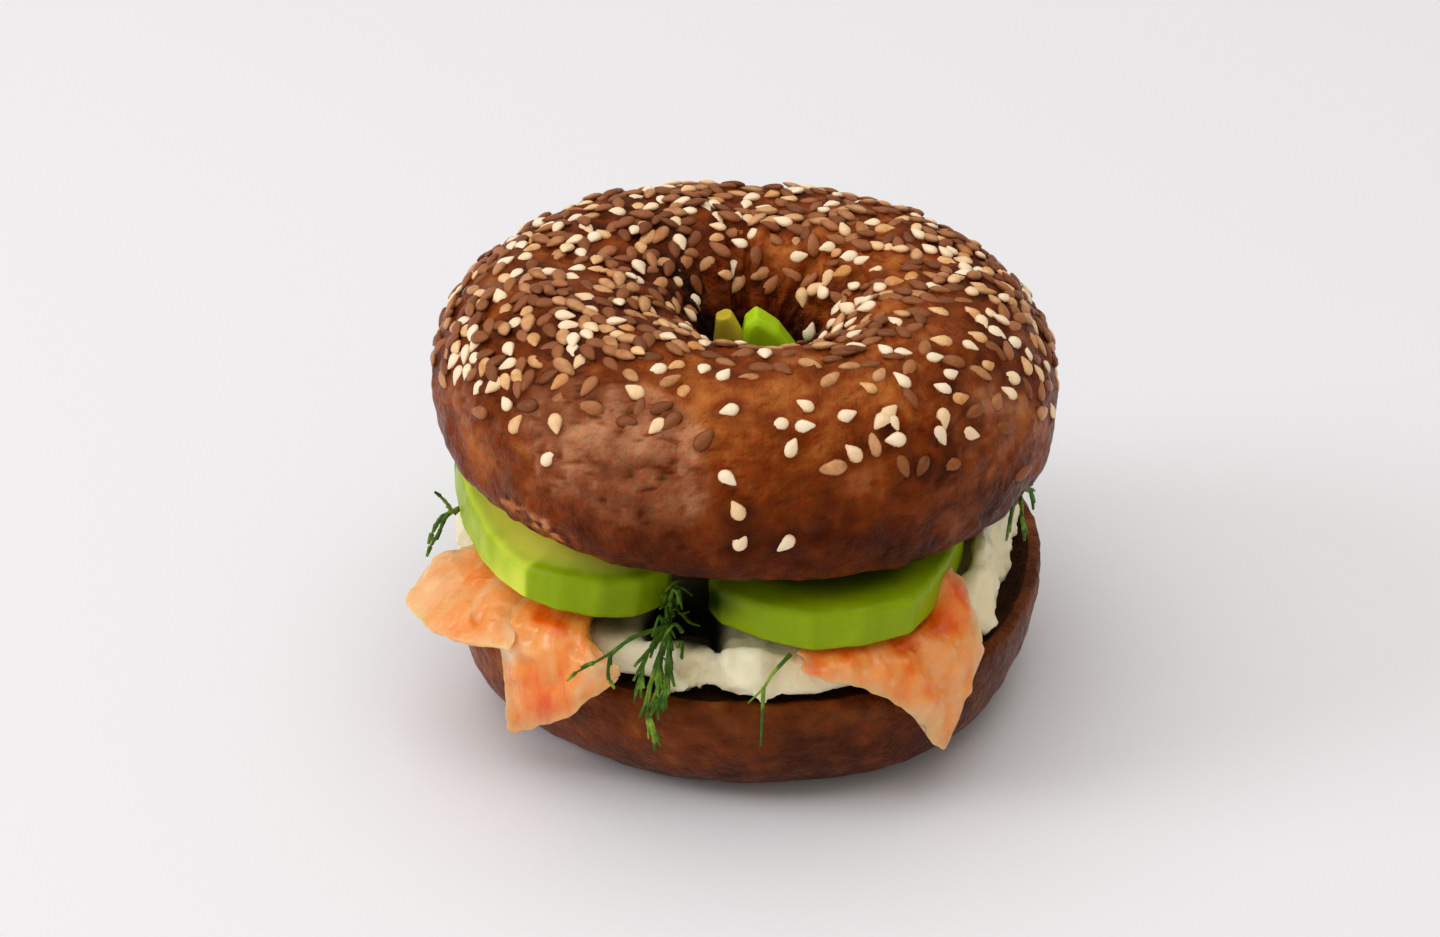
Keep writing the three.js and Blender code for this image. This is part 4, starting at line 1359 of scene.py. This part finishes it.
def drape(
    name, cover, bend, radius, start_at, bend_at, hang, ruffle,
    narrow=(0, 0), fan=(0, 0), lift=None, other=0.0,
):
    """A sheet between two directions. It starts at a radius, bends down through an angle and hangs."""
    bpy.ops.object.select_all(action="DESELECT")
    bpy.ops.mesh.primitive_grid_add(x_subdivisions=ROWS, y_subdivisions=COLUMNS, size=1, calc_uvs=True)
    sheet = named(name)
    for v in sheet.data.vertices:
        u, w = v.co.x + 0.5, v.co.y + 0.5
        spread = lerp(cover[0], cover[1], w)
        inner, start = bend_at(spread), start_at(spread)
        ragged = torn(w, (7, 0), (22, 4), 0.4, other)
        s = u * (inner - start + hang(spread) + ragged * smooth(u, 0.6, 1))
        out, height = start + s, SALMON_LEVEL
        if out > inner:
            past, most = s - (inner - start), math.radians(bend(spread))
            a = min(past / radius, most)
            rest = max(0.0, past - radius * most)
            out = inner + radius * math.sin(a) + rest * math.cos(most)
            height -= radius * (1 - math.cos(a)) + rest * math.sin(most)
        fold = math.sin(math.radians(spread * 17) + 3 * noise.noise(Vector((u * 2, w * 2, other))))
        wave = ruffle * smooth(u, 0.45, 1) * (0.5 + 0.5 * fold)
        if lift:
            height += lift(spread) * (1 - smooth(u, 0.0, LIFT_REACH))
        v.co = polar(side_way(u, w, spread, narrow, fan, other), out + wave, height + 0.4 * wave)
    return sheet


print("the middle of a hanging slice clears the rim by", round(HANG_CLEAR, 2), "mm")

# %% [markdown]
# ## Flesh of the salmon
# The Solidify modifier gives the sheet its thickness, which thins out to the edges. Salmon flesh comes apart
# in layers, so the relief is cut into terraces with short steep edges. On top of that lie the folds that the
# photograph shows, as spots at its pixels.

# %% Thicken a sheet and fold it
EDGE_SHARE = 0.22
EDGE_WIDTH = 0.2
# Places in the photograph's pixels, with a size and a height in millimetres.
FOLDS = {
    "salmon_front_left": [
        (516, 625, 8, 0.7), (514, 650, 8, 0.7), (516, 675, 8, 0.6), (530, 640, 7, -0.6),
        (529, 664, 7, -0.6), (555, 626, 10, 0.6), (574, 650, 8, -0.6), (566, 668, 8, -0.6),
        (552, 684, 8, -0.5), (592, 668, 10, 0.7), (575, 690, 9, 0.5), (540, 655, 9, 0.5),
    ],
    "salmon_front_right": [
        (915, 646, 7, -0.8), (925, 659, 7, -0.9), (934, 673, 7, -0.9), (943, 688, 7, -0.8),
        (950, 702, 7, -0.5), (905, 664, 9, 0.7), (918, 682, 9, 0.8), (930, 700, 9, 0.7),
        (946, 650, 9, 0.7), (956, 670, 9, 0.8), (864, 668, 8, -0.5), (850, 664, 8, 0.5),
        (958, 625, 6, -0.6), (968, 610, 6, 0.5), (966, 690, 7, 0.6), (884, 674, 9, 0.5),
    ],
    "salmon_flap_left": [
        (440, 580, 9, 0.5), (462, 596, 9, -0.5), (480, 580, 9, 0.5), (478, 620, 8, -0.6), (496, 618, 9, 0.6),
        (440, 620, 10, 0.4),
    ],
    "salmon_behind": [],
}


def flakes(point, other):
    """Layers of flesh: broad lumps cut into terraces with short steep edges."""
    level = 1.9 * lumps(point, 9, other) + 0.5 * lumps(point, 2.6, other + 3)
    step = math.floor(level)
    terraces = 0.34 * (step + smooth(level - step, 0.0, 0.5)) - 0.26 * level
    return 0.8 * terraces + 0.55 * lumps(point, 6, other + 5) + 0.08 * lumps(point, 2.4, other + 6)


def map_places(piece):
    """The place of each vertex in the sheet's own map: how far along it, from its hidden end, and across."""
    places = [(0.0, 0.0)] * len(piece.data.vertices)
    for loop, corner in zip(piece.data.loops, piece.data.uv_layers.active.data):
        places[loop.vertex_index] = tuple(corner.uv)
    return places


def thicken(sheet, other):
    """Gives a sheet its thickness, thin at the edges, and the layers and folds of flesh."""
    thickness = sheet.vertex_groups.new(name="thickness")
    for (u, w), v in zip(map_places(sheet), sheet.data.vertices):
        share = lerp(EDGE_SHARE, 1, smooth(min(1 - u, w, 1 - w), 0, EDGE_WIDTH))
        thickness.add([v.index], share, "REPLACE")
    finish_with(sheet, "SMOOTH", factor=0.5, iterations=3)
    finish_with(sheet, "SOLIDIFY", thickness=SALMON_THICKNESS * MM, offset=0.0, vertex_group="thickness")
    mend(sheet)
    finish_with(sheet, "SUBSURF", levels=1, render_levels=1)
    relief(sheet, lambda point, normal: flakes(point, 41 + other))
    relief(sheet, lambda point, normal: smooth(-normal.y, 0, 0.4) * spots(point, FOLDS[sheet.name]))


print("folds seen:", {name: len(places) for name, places in FOLDS.items()})

# %% [markdown]
# ## The four slices
# On the left a flap rests on the cream and droops over the rim, and a slice beside it hangs down to a corner.
# On the right a slice climbs beside the avocado and hangs down to a tip. The one at the back can't be seen in
# the photograph. Each is given by the directions it covers, the angle and radius of its bend, where it
# starts and bends, and how far it hangs. Measures are in millimetres and run along its directions.

# %% Lay the slices of salmon
SLICES_OF_SALMON = {
    "salmon_left_flap": dict(
        name="salmon_flap_left", cover=(-163, -139), bend=along([(-157, 19), (-140, 36)]), radius=14,
        start_at=lambda d: 38, bend_at=lambda d: 46,
        hang=along([(-163, 8), (-160, 12.6), (-157.2, 17), (-151.5, 16.8), (-146, 14.6), (-140, 11)]),
        ruffle=1.0, fan=(0, 6), other=1.0,
    ),
    "salmon_left_front": dict(
        name="salmon_front_left", cover=(-139, -112.5), bend=lambda d: 90, radius=5,
        start_at=along([(-124, 36), (-118, 46), (-112.5, 50.5)]), bend_at=lambda d: hang_radius(d) - 4.2,
        hang=along([(-137, 25.4), (-134, 23.4), (-130, 21.6), (-121, 15.4), (-115, 9.4), (-112.5, 7)]),
        ruffle=1.1, narrow=(-0.8, 8), fan=(-1.6, -1), other=2.0,
    ),
    "salmon_right": dict(
        name="salmon_front_right", cover=(-81, -45), bend=lambda d: 90, radius=5,
        start_at=along([(-53, 40), (-49, 45.6)]), bend_at=lambda d: hang_radius(d) - 5,
        hang=along([
            (-81, 3.6), (-76, 6), (-70, 8), (-63, 12), (-57, 20), (-52.3, 24.6), (-48.5, 18), (-45, 13),
        ]),
        ruffle=1.2, narrow=(0, 1), fan=(0, -4), lift=along([(-53, 0), (-48.5, 7.5)]), other=3.0,
    ),
    "salmon_back": dict(
        name="salmon_behind", cover=(98, 140), bend=lambda d: 82, radius=6,
        start_at=lambda d: 38, bend_at=lambda d: hang_radius(d) - 5.4,
        hang=along([(98, 8), (108, 15), (122, 18), (132, 13), (140, 7)]),
        ruffle=1.2, other=4.0,
    ),
}
salmon_pieces = []
for node, measures in SLICES_OF_SALMON.items():
    piece = drape(**measures)
    thicken(piece, measures["other"])
    salmon_pieces.append((piece, node))
print("salmon pieces:", [piece.name for piece, node in salmon_pieces])

# %% [markdown]
# ## Finish of the salmon
# Salmon is translucent peach, deep orange where it is thick, and almost cream at its thin edges. Close under
# the avocado a deeper orange is painted on as shade. One value for each vertex, "rich_and_shade", says how
# deep the orange is, that painted shade included. Bands that flow along the sheet's own map, flecks of fat
# and a pale hem vary it. The surface is moist, so it is smooth.

# %% Colour the salmon
# Spots close under the avocado are painted shade; the others vary the flesh.
RICH_AND_SHADE = {
    "salmon_flap_left": (0.38, [
        (450, 640, 22, 0.25), (490, 618, 24, 0.1), (430, 580, 30, -0.1), (475, 575, 12, 0.2),
    ]),
    "salmon_front_left": (0.6, [
        (556, 624, 12, 0.55), (540, 618, 9, 0.3), (575, 640, 18, 0.15), (545, 682, 26, 0.05),
        (600, 672, 20, -0.35), (510, 650, 15, -0.7), (512, 700, 12, -0.3), (548, 712, 20, 0.2),
    ]),
    "salmon_front_right": (0.46, [
        (806, 668, 14, 0.6), (850, 656, 12, 0.4), (905, 645, 14, 0.45), (940, 622, 20, 0.55),
        (958, 590, 14, 0.5), (880, 680, 14, -0.15), (948, 715, 26, 0.06), (912, 668, 8, 0.3),
        (926, 690, 7, 0.25),
    ]),
    "salmon_behind": (0.5, []),
}
# How far the bands stretch along and across the map, and how strongly the place on the piece shifts them.
BAND_SCALE = (1.7, 5.5, 1.0)
BAND_SHIFT = (60, 60, 60)


def salmon_bands(tree, place, sheet):
    """Bands of flesh that run along the sheet and wander."""
    stretched = block(tree, "Mapping", Vector=sheet, Scale=BAND_SCALE).outputs[0]
    shift = [("operation", "MULTIPLY_ADD")]
    shifted = block(tree, "VectorMath", shift, in0=place, in1=BAND_SHIFT, in2=stretched).outputs[0]
    made = block(tree, "TexNoise", Vector=shifted, Scale=1.0, Detail=3.0, Roughness=0.45, Distortion=0.9)
    return made.outputs["Fac"]


def pale_hem(tree, sheet):
    """Where the sheet thins out: at its two sides and its free end."""
    parts = block(tree, "SeparateXYZ", Vector=sheet).outputs
    to_side = maths(tree, "ABSOLUTE", maths(tree, "SUBTRACT", parts["Y"], 0.5))
    return maths(tree, "MAXIMUM", between(tree, to_side, 0.4, 0.52), between(tree, parts["X"], 0.88, 1.04))


def make_salmon():
    material, tree, shader = finish(
        "salmon", 0.3, Subsurface_Weight=0.5, Subsurface_Scale=0.005, Subsurface_Radius=(1.0, 0.4, 0.12),
        Specular_IOR_Level=0.4,
    )
    place, skin = food_skin(tree, 8.0, 1.2, 2.4, 0.1)
    sheet = block(tree, "TexCoord").outputs["UV"]
    bands = salmon_bands(tree, place, sheet)
    flow = times(tree, maths(tree, "SUBTRACT", 0.52, bands), 1.25)
    moved = maths(tree, "ADD", wander(tree, skin["Blotch"], 0.5), flow)
    depth = maths(tree, "ADD", marked(tree, "rich_and_shade"), moved, clamp=True)
    body = ramp(tree, depth, [
        (0.0, (255, 206, 160)), (0.3, (255, 180, 118)), (0.6, (255, 152, 68)), (0.85, (252, 124, 38)),
        (1.0, (236, 96, 14)),
    ])
    flecks = block(tree, "TexVoronoi", Vector=place, Scale=330.0, Randomness=1.0)
    fat = between(tree, flecks.outputs["Distance"], 0.1, 0.3, 0.22, 0.0)
    body = mixed(tree, fat, body, paint(255, 216, 170))
    body = mixed(tree, times(tree, pale_hem(tree, sheet), 0.5), body, paint(255, 198, 146))
    tree.links.new(between(tree, skin["Grain"], 0.35, 0.7, 0.2, 0.36), shader.inputs["Roughness"])
    height = maths(tree, "ADD", times(tree, bands, 2.0), times(tree, skin["Height"], 0.3))
    surfaced(tree, shader, body, height, 0.3)
    return material


salmon_finish = make_salmon()
for piece, node in salmon_pieces:
    base, marks = RICH_AND_SHADE[piece.name]
    mark(piece, "rich_and_shade", [base + spots(v.co, marks) for v in piece.data.vertices])
    piece.data.materials.append(salmon_finish)
    belongs(piece, "salmon", node)

# %% [markdown]
# ## Avocado
# The slices are ripe and were cut with a knife, so their faces are smooth, their facets clear and their
# edges just softened. They could be modelled again from blocks with a bevel, but melted copies of the solids
# already have the form. Each vertex then learns how deep it lies under the peeled outside, because that is
# what decides its green. The tops of the two front slices slope down to their rims, where the crown pressed
# on them.

# %% Measure the depth of the flesh and slope the rims
# The slope takes hold between these heights, near the top of a slice.
TOP_LOW, TOP_HIGH = 33, 38


def mark_depth(piece, outside):
    """Writes how deep each vertex lies, in millimetres, below the vertices that are outside."""
    tree = search_tree([v.co for v in piece.data.vertices if outside(v)])
    mark(piece, "depth", [tree.find(v.co)[2] / MM for v in piece.data.vertices])


def on_rim(v):
    """A vertex of a lying slice that faces away from the middle, on its upright side."""
    away = (v.co - HOLE).xy.normalized()
    return abs(v.normal.z) < 0.6 and v.normal.xy.dot(away) > 0.3


def slope_rim(piece, drop, reach):
    """Lowers the top of the rim by drop(direction) millimetres, and less further in, over the reach."""
    for v, depth in zip(piece.data.vertices, piece.data.attributes["depth"].data):
        raised = smooth(v.co.z / MM, TOP_LOW, TOP_HIGH)
        v.co.z -= drop(direction_of(v.co)) * raised * (1 - smooth(depth.value, 0, reach)) * MM
    piece.data.update()


print("the slope takes hold from", TOP_LOW, "to", TOP_HIGH, "mm up")

# %% [markdown]
# ## The two front slices
# They differ. The left one was trimmed deeper left of its corner, so pale inner flesh shows there and on its
# top, and painted light makes both paler still. The right one is from nearer the peel and stays green further
# in, and a painted shade darkens its top under the crown and its left end in the dark gap.

# %% Give the front slices their own flesh
LEFT_SLOPE = along([(-179, 2.2), (-165, 3.6), (-138, 3.5), (-127, 1.8), (-116, 1.0), (-110, 0.4)])
RIGHT_SLOPE = 1.5
# Pale flesh and painted light on the facet left of the corner.
PALE_LIT_FACET = [(516, 596, 24, 4.5), (505, 570, 26, 3), (486, 535, 30, 1.5)]
# Painted shade at the left end of the right slice, in the dark gap.
SHADED_END = [(704, 596, 22, 0.9), (722, 606, 20, 0.45), (745, 596, 18, 0.2)]
GREEN_THROUGH = 0.3


def pale_left(piece):
    """Makes the flesh left of the corner, and on the top, seem deeper and paler, partly as painted light."""
    for v, depth in zip(piece.data.vertices, piece.data.attributes["depth"].data):
        left = 1 - smooth(direction_of(v.co), -135, -133)
        on_top = smooth(v.normal.z, 0.3, 0.8)
        pale_and_lit = lerp(0.8 + spots(v.co, PALE_LIT_FACET), 4.5, on_top) * (1 + 0.3 * lumps(v.co, 4, 54))
        depth.value += left * pale_and_lit + 5 * on_top * smooth(depth.value, 0, 6)


def green_right(piece):
    """Marks a painted shade on the top under the crown and on the left end, and keeps the flesh green further
    in.
    """
    depths = piece.data.attributes["depth"].data
    shades = []
    for v, depth in zip(piece.data.vertices, depths):
        shaded_top = 0.85 * smooth(v.normal.z, 0.3, 0.8) * smooth(depth.value, 0.8, 6)
        shades.append(min(1.0, shaded_top + spots(v.co, SHADED_END)))
    mark(piece, "shade", shades)
    for depth in piece.data.attributes["depth"].data:
        depth.value *= GREEN_THROUGH


print("the left slice slopes by up to", LEFT_SLOPE(-165), "mm, the right one by", RIGHT_SLOPE, "mm")

# %% [markdown]
# ## Lying slices
# The four slices that lie on the cream are melted copies of their solids. The left one has the softest
# facets, so it gets more rounds of smoothing.

# %% Make the lying slices
LYING_SLICES = {
    "avocado_slice_left": ("avocado_left", 9),
    "avocado_slice_right": ("avocado_right", 4),
    "avocado_slice_behind": ("avocado_back", 4),
    "avocado_slice_behind_left": ("avocado_back_left", 4),
}
SLICE_LUMPS = [(0.12, 7, 51), (0.05, 2.4, 52)]
avocado_pieces = []
for name, (node, rounds) in LYING_SLICES.items():
    piece = soft_copy(node, name, 0.55, rounds)
    mark_depth(piece, on_rim)
    if node == "avocado_left":
        slope_rim(piece, LEFT_SLOPE, 10)
        pale_left(piece)
    if node == "avocado_right":
        slope_rim(piece, lambda direction: RIGHT_SLOPE, 7)
        green_right(piece)
    relief(piece, lambda point, normal: lumpy(point, SLICE_LUMPS))
    avocado_pieces.append((piece, node))
print("lying slices:", [piece.name for piece, node in avocado_pieces])

# %% [markdown]
# ## Avocado in the hole
# A wedge and a browned strip stand in the crown's hole and show above its front rim. Seen from the camera
# they are broader than their solids, and the strip has a blunt, slanting top.

# %% Make the wedge and the strip
BROADER = 1.2
STRIP_ASIDE = 0.5
STRIP_RAISED = 0.8
# How far the strip's blunt top lies under the old one in its middle, and how much it slants.
BLUNT = 0.3
SLANT = 0.25


def broaden(piece):
    middle = sum((v.co for v in piece.data.vertices), Vector()) / len(piece.data.vertices)
    for v in piece.data.vertices:
        v.co.x = middle.x + (v.co.x - middle.x) * BROADER
    return middle


def blunt(piece, middle, top):
    """Raises the strip towards its top and cuts the top off on a slant."""
    for v in piece.data.vertices:
        v.co.x += STRIP_ASIDE * MM
        raised = v.co.z + STRIP_RAISED * MM * smooth(v.co.z, middle.z, top)
        v.co.z = min(raised, top - (BLUNT - SLANT * (v.co.x - middle.x) / MM) * MM)


for name, node in (("avocado_wedge", "avocado_centre"), ("avocado_strip", "avocado_centre_strip")):
    piece = soft_copy(node, name, 0.35, 3)
    middle = broaden(piece)
    if name == "avocado_strip":
        blunt(piece, middle, max(v.co.z for v in piece.data.vertices))
    mark_depth(piece, lambda v: v.normal.y < -0.5)
    relief(piece, lambda point, normal: 0.1 * lumps(point, 3, 53))
    avocado_pieces.append((piece, node))
print("avocado pieces:", [piece.name for piece, node in avocado_pieces])

# %% [markdown]
# ## Finish of the avocado
# Just under the peel the flesh is deep green. It turns yellow-green within a few millimetres and pale
# yellow towards the stone. The ramp runs over the marked depth, pushed about by blotches, and faint upright
# streaks show where the knife went down. The marked shade darkens what lies under the crown.

# %% Colour the avocado
# The depth in millimetres at which the ramp ends.
DEEPEST = 16.0
UPRIGHT = (1, 1, 0.08)


def make_avocado(name, stops):
    material, tree, shader = finish(
        name, 0.34, Subsurface_Weight=0.25, Subsurface_Scale=0.003, Subsurface_Radius=(0.6, 1.0, 0.1),
        Specular_IOR_Level=0.12,
    )
    place, skin = food_skin(tree, 7.0, 1.4, 3.0, 0.1)
    drawn_out = block(tree, "Mapping", Vector=place, Scale=UPRIGHT).outputs[0]
    streaks = block(tree, "TexNoise", Vector=drawn_out, Scale=420.0, Detail=2.0).outputs["Fac"]
    moved = maths(tree, "ADD", marked(tree, "depth"), wander(tree, skin["Blotch"], 5.0))
    moved = maths(tree, "ADD", moved, wander(tree, streaks, 2.0))
    body = ramp(tree, maths(tree, "DIVIDE", moved, DEEPEST), stops)
    body = mixed(tree, between(tree, streaks, 0.35, 0.7, 0.0, 0.16), body, paint(120, 140, 10), "OVERLAY")
    body = mixed(tree, marked(tree, "shade"), body, paint(30, 46, 0))
    height = maths(tree, "ADD", times(tree, streaks, 0.4), times(tree, skin["Grain"], 0.5))
    surfaced(tree, shader, body, height, 0.1)
    return material


slice_finish = make_avocado("avocado", [
    (0.0, (143, 170, 3)), (0.12, (166, 190, 12)), (0.3, (208, 224, 70)), (0.6, (238, 236, 88)),
    (1.0, (252, 242, 98)),
])
HOLE_FINISHES = {
    "avocado_wedge": make_avocado(
        "avocado wedge", [(0.0, (178, 216, 26)), (0.4, (176, 206, 34)), (1.0, (190, 208, 60))],
    ),
    "avocado_strip": make_avocado(
        "avocado strip", [(0.0, (196, 176, 50)), (0.4, (206, 160, 60)), (1.0, (190, 180, 70))],
    ),
}
for piece, node in avocado_pieces:
    piece.data.materials.append(HOLE_FINISHES.get(piece.name, slice_finish))
    belongs(piece, "avocado", node)

# %% [markdown]
# ## Threads of dill
# A sprig is a thin stem with finer threads on both sides. As tubes of mesh they would be slow to bend, so
# stems and threads are drawn as curves, with a round section that thins to the tip, and made mesh at the end.
# The threads follow a seeded rule: they leave the stem to one side and the other, lean along it and droop.

# %% Draw stems and threads
STEM_STEPS = 5
THREAD_STEPS = 4
THREAD_TIP = 0.6
# Shares of a thread's length, spread and thickness, and how far it lifts off the sandwich.
LENGTHS = (0.6, 1.1)
SPREADS = (0.5, 1.2)
THICKNESSES = (0.75, 1.0)
LIFTS = (-0.05, 0.16)
# At each step a thread leans along the stem, droops and strays to a side.
LEAN = 0.12
DROOP = Vector((0, 0, -0.1))
STRAY = 0.15
sprigs = random.Random(23)


def smooth_path(points, steps):
    """Points along a smooth curve through the given ones."""
    path = []
    for i in range(len(points) - 1):
        a, b = points[max(0, i - 1)], points[i]
        c, d = points[i + 1], points[min(len(points) - 1, i + 2)]
        for k in range(steps):
            t = k / steps
            bend = (2 * a - 5 * b + 4 * c - d) * t * t + (3 * b - a - 3 * c + d) * t ** 3
            path.append(0.5 * (2 * b + (c - a) * t + bend))
    return path + [points[-1]]


def add_thread(curve, path, thick, tip=0.35):
    spline = curve.splines.new("POLY")
    spline.points.add(len(path) - 1)
    for i, (point, place) in enumerate(zip(spline.points, path)):
        point.co = (*place, 1.0)
        point.radius = thick * lerp(1, tip, i / (len(path) - 1))


def add_side_thread(curve, path, share, side, length, spread, thick):
    """One thread that leaves a stem at a share of its steps, to one side of it."""
    i = min(int(share), len(path) - 2)
    base = path[i].lerp(path[i + 1], share - i)
    ahead = (path[i + 1] - path[i]).normalized()
    outward = (base - HOLE).normalized()
    outward.z = 0
    aside = ahead.cross(outward).normalized() * side
    reach = length * sprigs.uniform(*LENGTHS) * MM
    way = (ahead + aside * spread * sprigs.uniform(*SPREADS) + outward * sprigs.uniform(*LIFTS)).normalized()
    thread = [base]
    for step in range(THREAD_STEPS):
        way = (way + ahead * LEAN + DROOP + aside * sprigs.uniform(-STRAY, STRAY)).normalized()
        thread.append(thread[-1] + way * reach / THREAD_STEPS)
    add_thread(curve, thread, thick * sprigs.uniform(*THICKNESSES), THREAD_TIP)


def sprig(name, stems):
    """Each stem is a list of places, with the count, length, spread and thickness of its threads."""
    curve = bpy.data.curves.new(name, "CURVE")
    curve.dimensions = "3D"
    curve.bevel_depth = MM
    curve.bevel_resolution = 1
    curve.use_fill_caps = True
    for places, threads, length, spread, thick in stems:
        path = smooth_path([polar(*place) for place in places], STEM_STEPS)
        add_thread(curve, path, thick)
        for k in range(threads):
            share = (k + sprigs.uniform(0.2, 0.8)) / threads * (len(path) - 1.2) + 0.2
            add_side_thread(curve, path, share, 1 if k % 2 else -1, length, spread, thick)
    new_piece(name, curve)
    bpy.ops.object.convert(target="MESH")
    return named(name)


print("a path of three points gets", len(smooth_path([HOLE, HOLE, HOLE], STEM_STEPS)), "points")

# %% [markdown]
# ## The four sprigs
# The stems follow the solids: a thick bunch in front with loose threads beside it in the dark gap, one bare
# thread that forks, and small sprigs at the left and the right edge. Each stem is a list of places, and the
# numbers of its threads.

# %% Grow the sprigs
TANGLE = 20
# Where loose threads begin: ranges of x, y and z in millimetres from the middle of the hole.
TANGLE_BOX = ((-14.5, -11), (-45, -36), (28, 37))


def tangle():
    """Loose threads at the left of the dark gap between the slices of avocado."""
    stems = []
    for k in range(TANGLE):
        x, y, z = (sprigs.uniform(*side) for side in TANGLE_BOX)
        lean, climb = sprigs.uniform(-3, 3), sprigs.uniform(-3, 4)
        ends = [(x, y, z), (x + lean * 0.4, y - 2, z + climb), (x + lean, y - 3.5, z + climb * 0.3)]
        places = [(math.degrees(math.atan2(b, a)), math.hypot(a, b), c) for a, b, c in ends]
        stems.append((places, 0, 1, 0, 0.42))
    return stems


# Each stem is a list of places (direction, radius, height), then the count of its threads and their length,
# spread and thickness.
BUNCH = [
    ([
        (-109, 40.6, 32.6), (-106.4, 47, 33.2), (-106.8, 50.6, 29.5), (-108, 53.1, 23.6), (-107.9, 53, 19),
        (-107.2, 53, 16.6),
    ], 30, 4.2, 0.18, 0.42),
    ([(-106.4, 47, 33.2), (-104.6, 51.6, 30.6), (-104.6, 53, 27), (-105.2, 53.4, 24.2)], 16, 3.8, 0.28, 0.42),
    ([(-106.8, 50.6, 29.5), (-106.2, 52.6, 27), (-106.6, 53.4, 23)], 12, 4.0, 0.24, 0.42),
    ([(-107, 47, 33), (-109, 51.8, 29.6), (-109.6, 53, 25)], 10, 3.6, 0.3, 0.42),
    ([(-106.4, 47, 33.2), (-111, 52, 33.2), (-115, 55.2, 30.5), (-120.5, 56.6, 26.2)], 5, 2.4, 0.5, 0.42),
    ([(-114, 54.6, 31), (-114.2, 55.4, 28), (-113.4, 55.6, 25.6)], 3, 1.8, 0.5, 0.4),
]
SINGLE = [
    ([(-83, 50.6, 31.2), (-86.4, 52.6, 29), (-88, 53, 26.6), (-90.6, 53.3, 24)], 0, 4, 0.5, 0.4),
    ([(-88, 53, 26.6), (-88.2, 53.3, 21), (-88.4, 53.2, 15.6)], 0, 4, 0.5, 0.4),
]
LEFT_SPRIG = [
    (
        [(-174, 44.6, 32.7), (-170.5, 51.2, 32.4), (-169.6, 53.4, 29.4), (-169.6, 55.6, 25.6)],
        7, 2.2, 0.6, 0.5,
    ),
    ([(-170.5, 51.2, 32.4), (-169, 51.8, 34.6), (-169, 53.4, 37)], 4, 1.6, 0.5, 0.5),
    ([(-170.5, 51.2, 32.4), (-172.4, 53.2, 30), (-173, 54.8, 26.6)], 5, 2.0, 0.6, 0.5),
]
RIGHT_SPRIG = [
    ([(-12, 45.4, 41), (-17, 47, 40), (-20.4, 48.2, 37), (-19, 48.6, 33.2)], 12, 3.4, 0.5, 0.45),
    ([(-17, 47, 40), (-24, 47.4, 40), (-27.4, 48, 37.6)], 8, 3.0, 0.5, 0.45),
    ([(-17, 47, 40), (-13.6, 48.2, 38.6), (-11.6, 48.6, 36)], 9, 3.0, 0.5, 0.45),
]
dill_pieces = [
    (sprig("dill_bunch", BUNCH + tangle()), "dill_centre"),
    (sprig("dill_single", SINGLE), "dill_thread"),
    (sprig("dill_sprig_left", LEFT_SPRIG), "dill_left"),
    (sprig("dill_sprig_right", RIGHT_SPRIG), "dill_right"),
]
print("dill pieces:", [piece.name for piece, node in dill_pieces])

# %% [markdown]
# ## Finish of the dill
# Dill is deep green, with lighter threads where the light catches them. Blotches of a few millimetres are
# enough to tell one thread from the next.

# %% Colour the dill


def make_dill():
    material, tree, shader = finish("dill", 0.42, Specular_IOR_Level=0.16)
    place, skin = food_skin(tree, 4.0, 0.6, 1.0, 0.1)
    body = ramp(tree, skin["Blotch"], [(0.3, (32, 60, 8)), (0.5, (68, 104, 20)), (0.72, (148, 178, 62))])
    surfaced(tree, shader, body, skin["Grain"], 0.05)
    return material


dill_finish = make_dill()
for piece, node in dill_pieces:
    piece.data.materials.append(dill_finish)
    belongs(piece, "dill", node)

# %% [markdown]
# ## Floor and light
# The floor is plain and pale. A window lamp stands on the left, a broad lamp hangs overhead like a white
# ceiling, and a weak one fills the front. Pale warm surroundings lighten the shadows. Plain light keeps the
# food's own colours.

# %% Lay the floor and light the scene
FLOOR_SIZE = 8
# The floor lies this far under the heel, so that the two don't share a plane.
FLOOR_BELOW = 0.2
SURROUNDINGS = (1.0, 0.89, 0.76, 1.0)
SURROUNDINGS_STRENGTH = 0.42
# Each lamp's place and size in metres, its power and its colour.
LAMPS = {
    "window": ((-1.7, -0.3, 1.1), 0.9, 11.5, (0.95, 0.97, 1.0)),
    "ceiling": ((-0.25, 0.0, 1.8), 2.6, 24.8, (0.92, 0.97, 1.0)),
    "fill": ((-0.3, -1.8, 0.8), 1.4, 2.2, (1.0, 0.97, 0.93)),
}
bpy.ops.object.select_all(action="DESELECT")
bpy.ops.mesh.primitive_plane_add(size=FLOOR_SIZE, location=(0, 0, -FLOOR_BELOW * MM))
floor = named("floor")
material, tree, shader = finish("floor", 0.6, Base_Color=paint(238, 238, 243))
floor.data.materials.append(material)

world = bpy.data.worlds.new("surroundings")
bpy.context.scene.world = world
world.use_nodes = True
background = world.node_tree.nodes["Background"]
background.inputs["Color"].default_value = SURROUNDINGS
background.inputs["Strength"].default_value = SURROUNDINGS_STRENGTH

for name, (place, size, power, colour) in LAMPS.items():
    lamp = linked(name, bpy.data.lights.new(name, "AREA"))
    lamp.data.shape = "DISK"
    lamp.data.size = size
    lamp.data.energy = power
    lamp.data.color = colour
    lamp.location = place
    lamp.rotation_euler = (Vector(place) - aim).to_track_quat("Z", "Y").to_euler()
bpy.context.scene.view_settings.view_transform = "Standard"
print("lamps:", list(LAMPS))
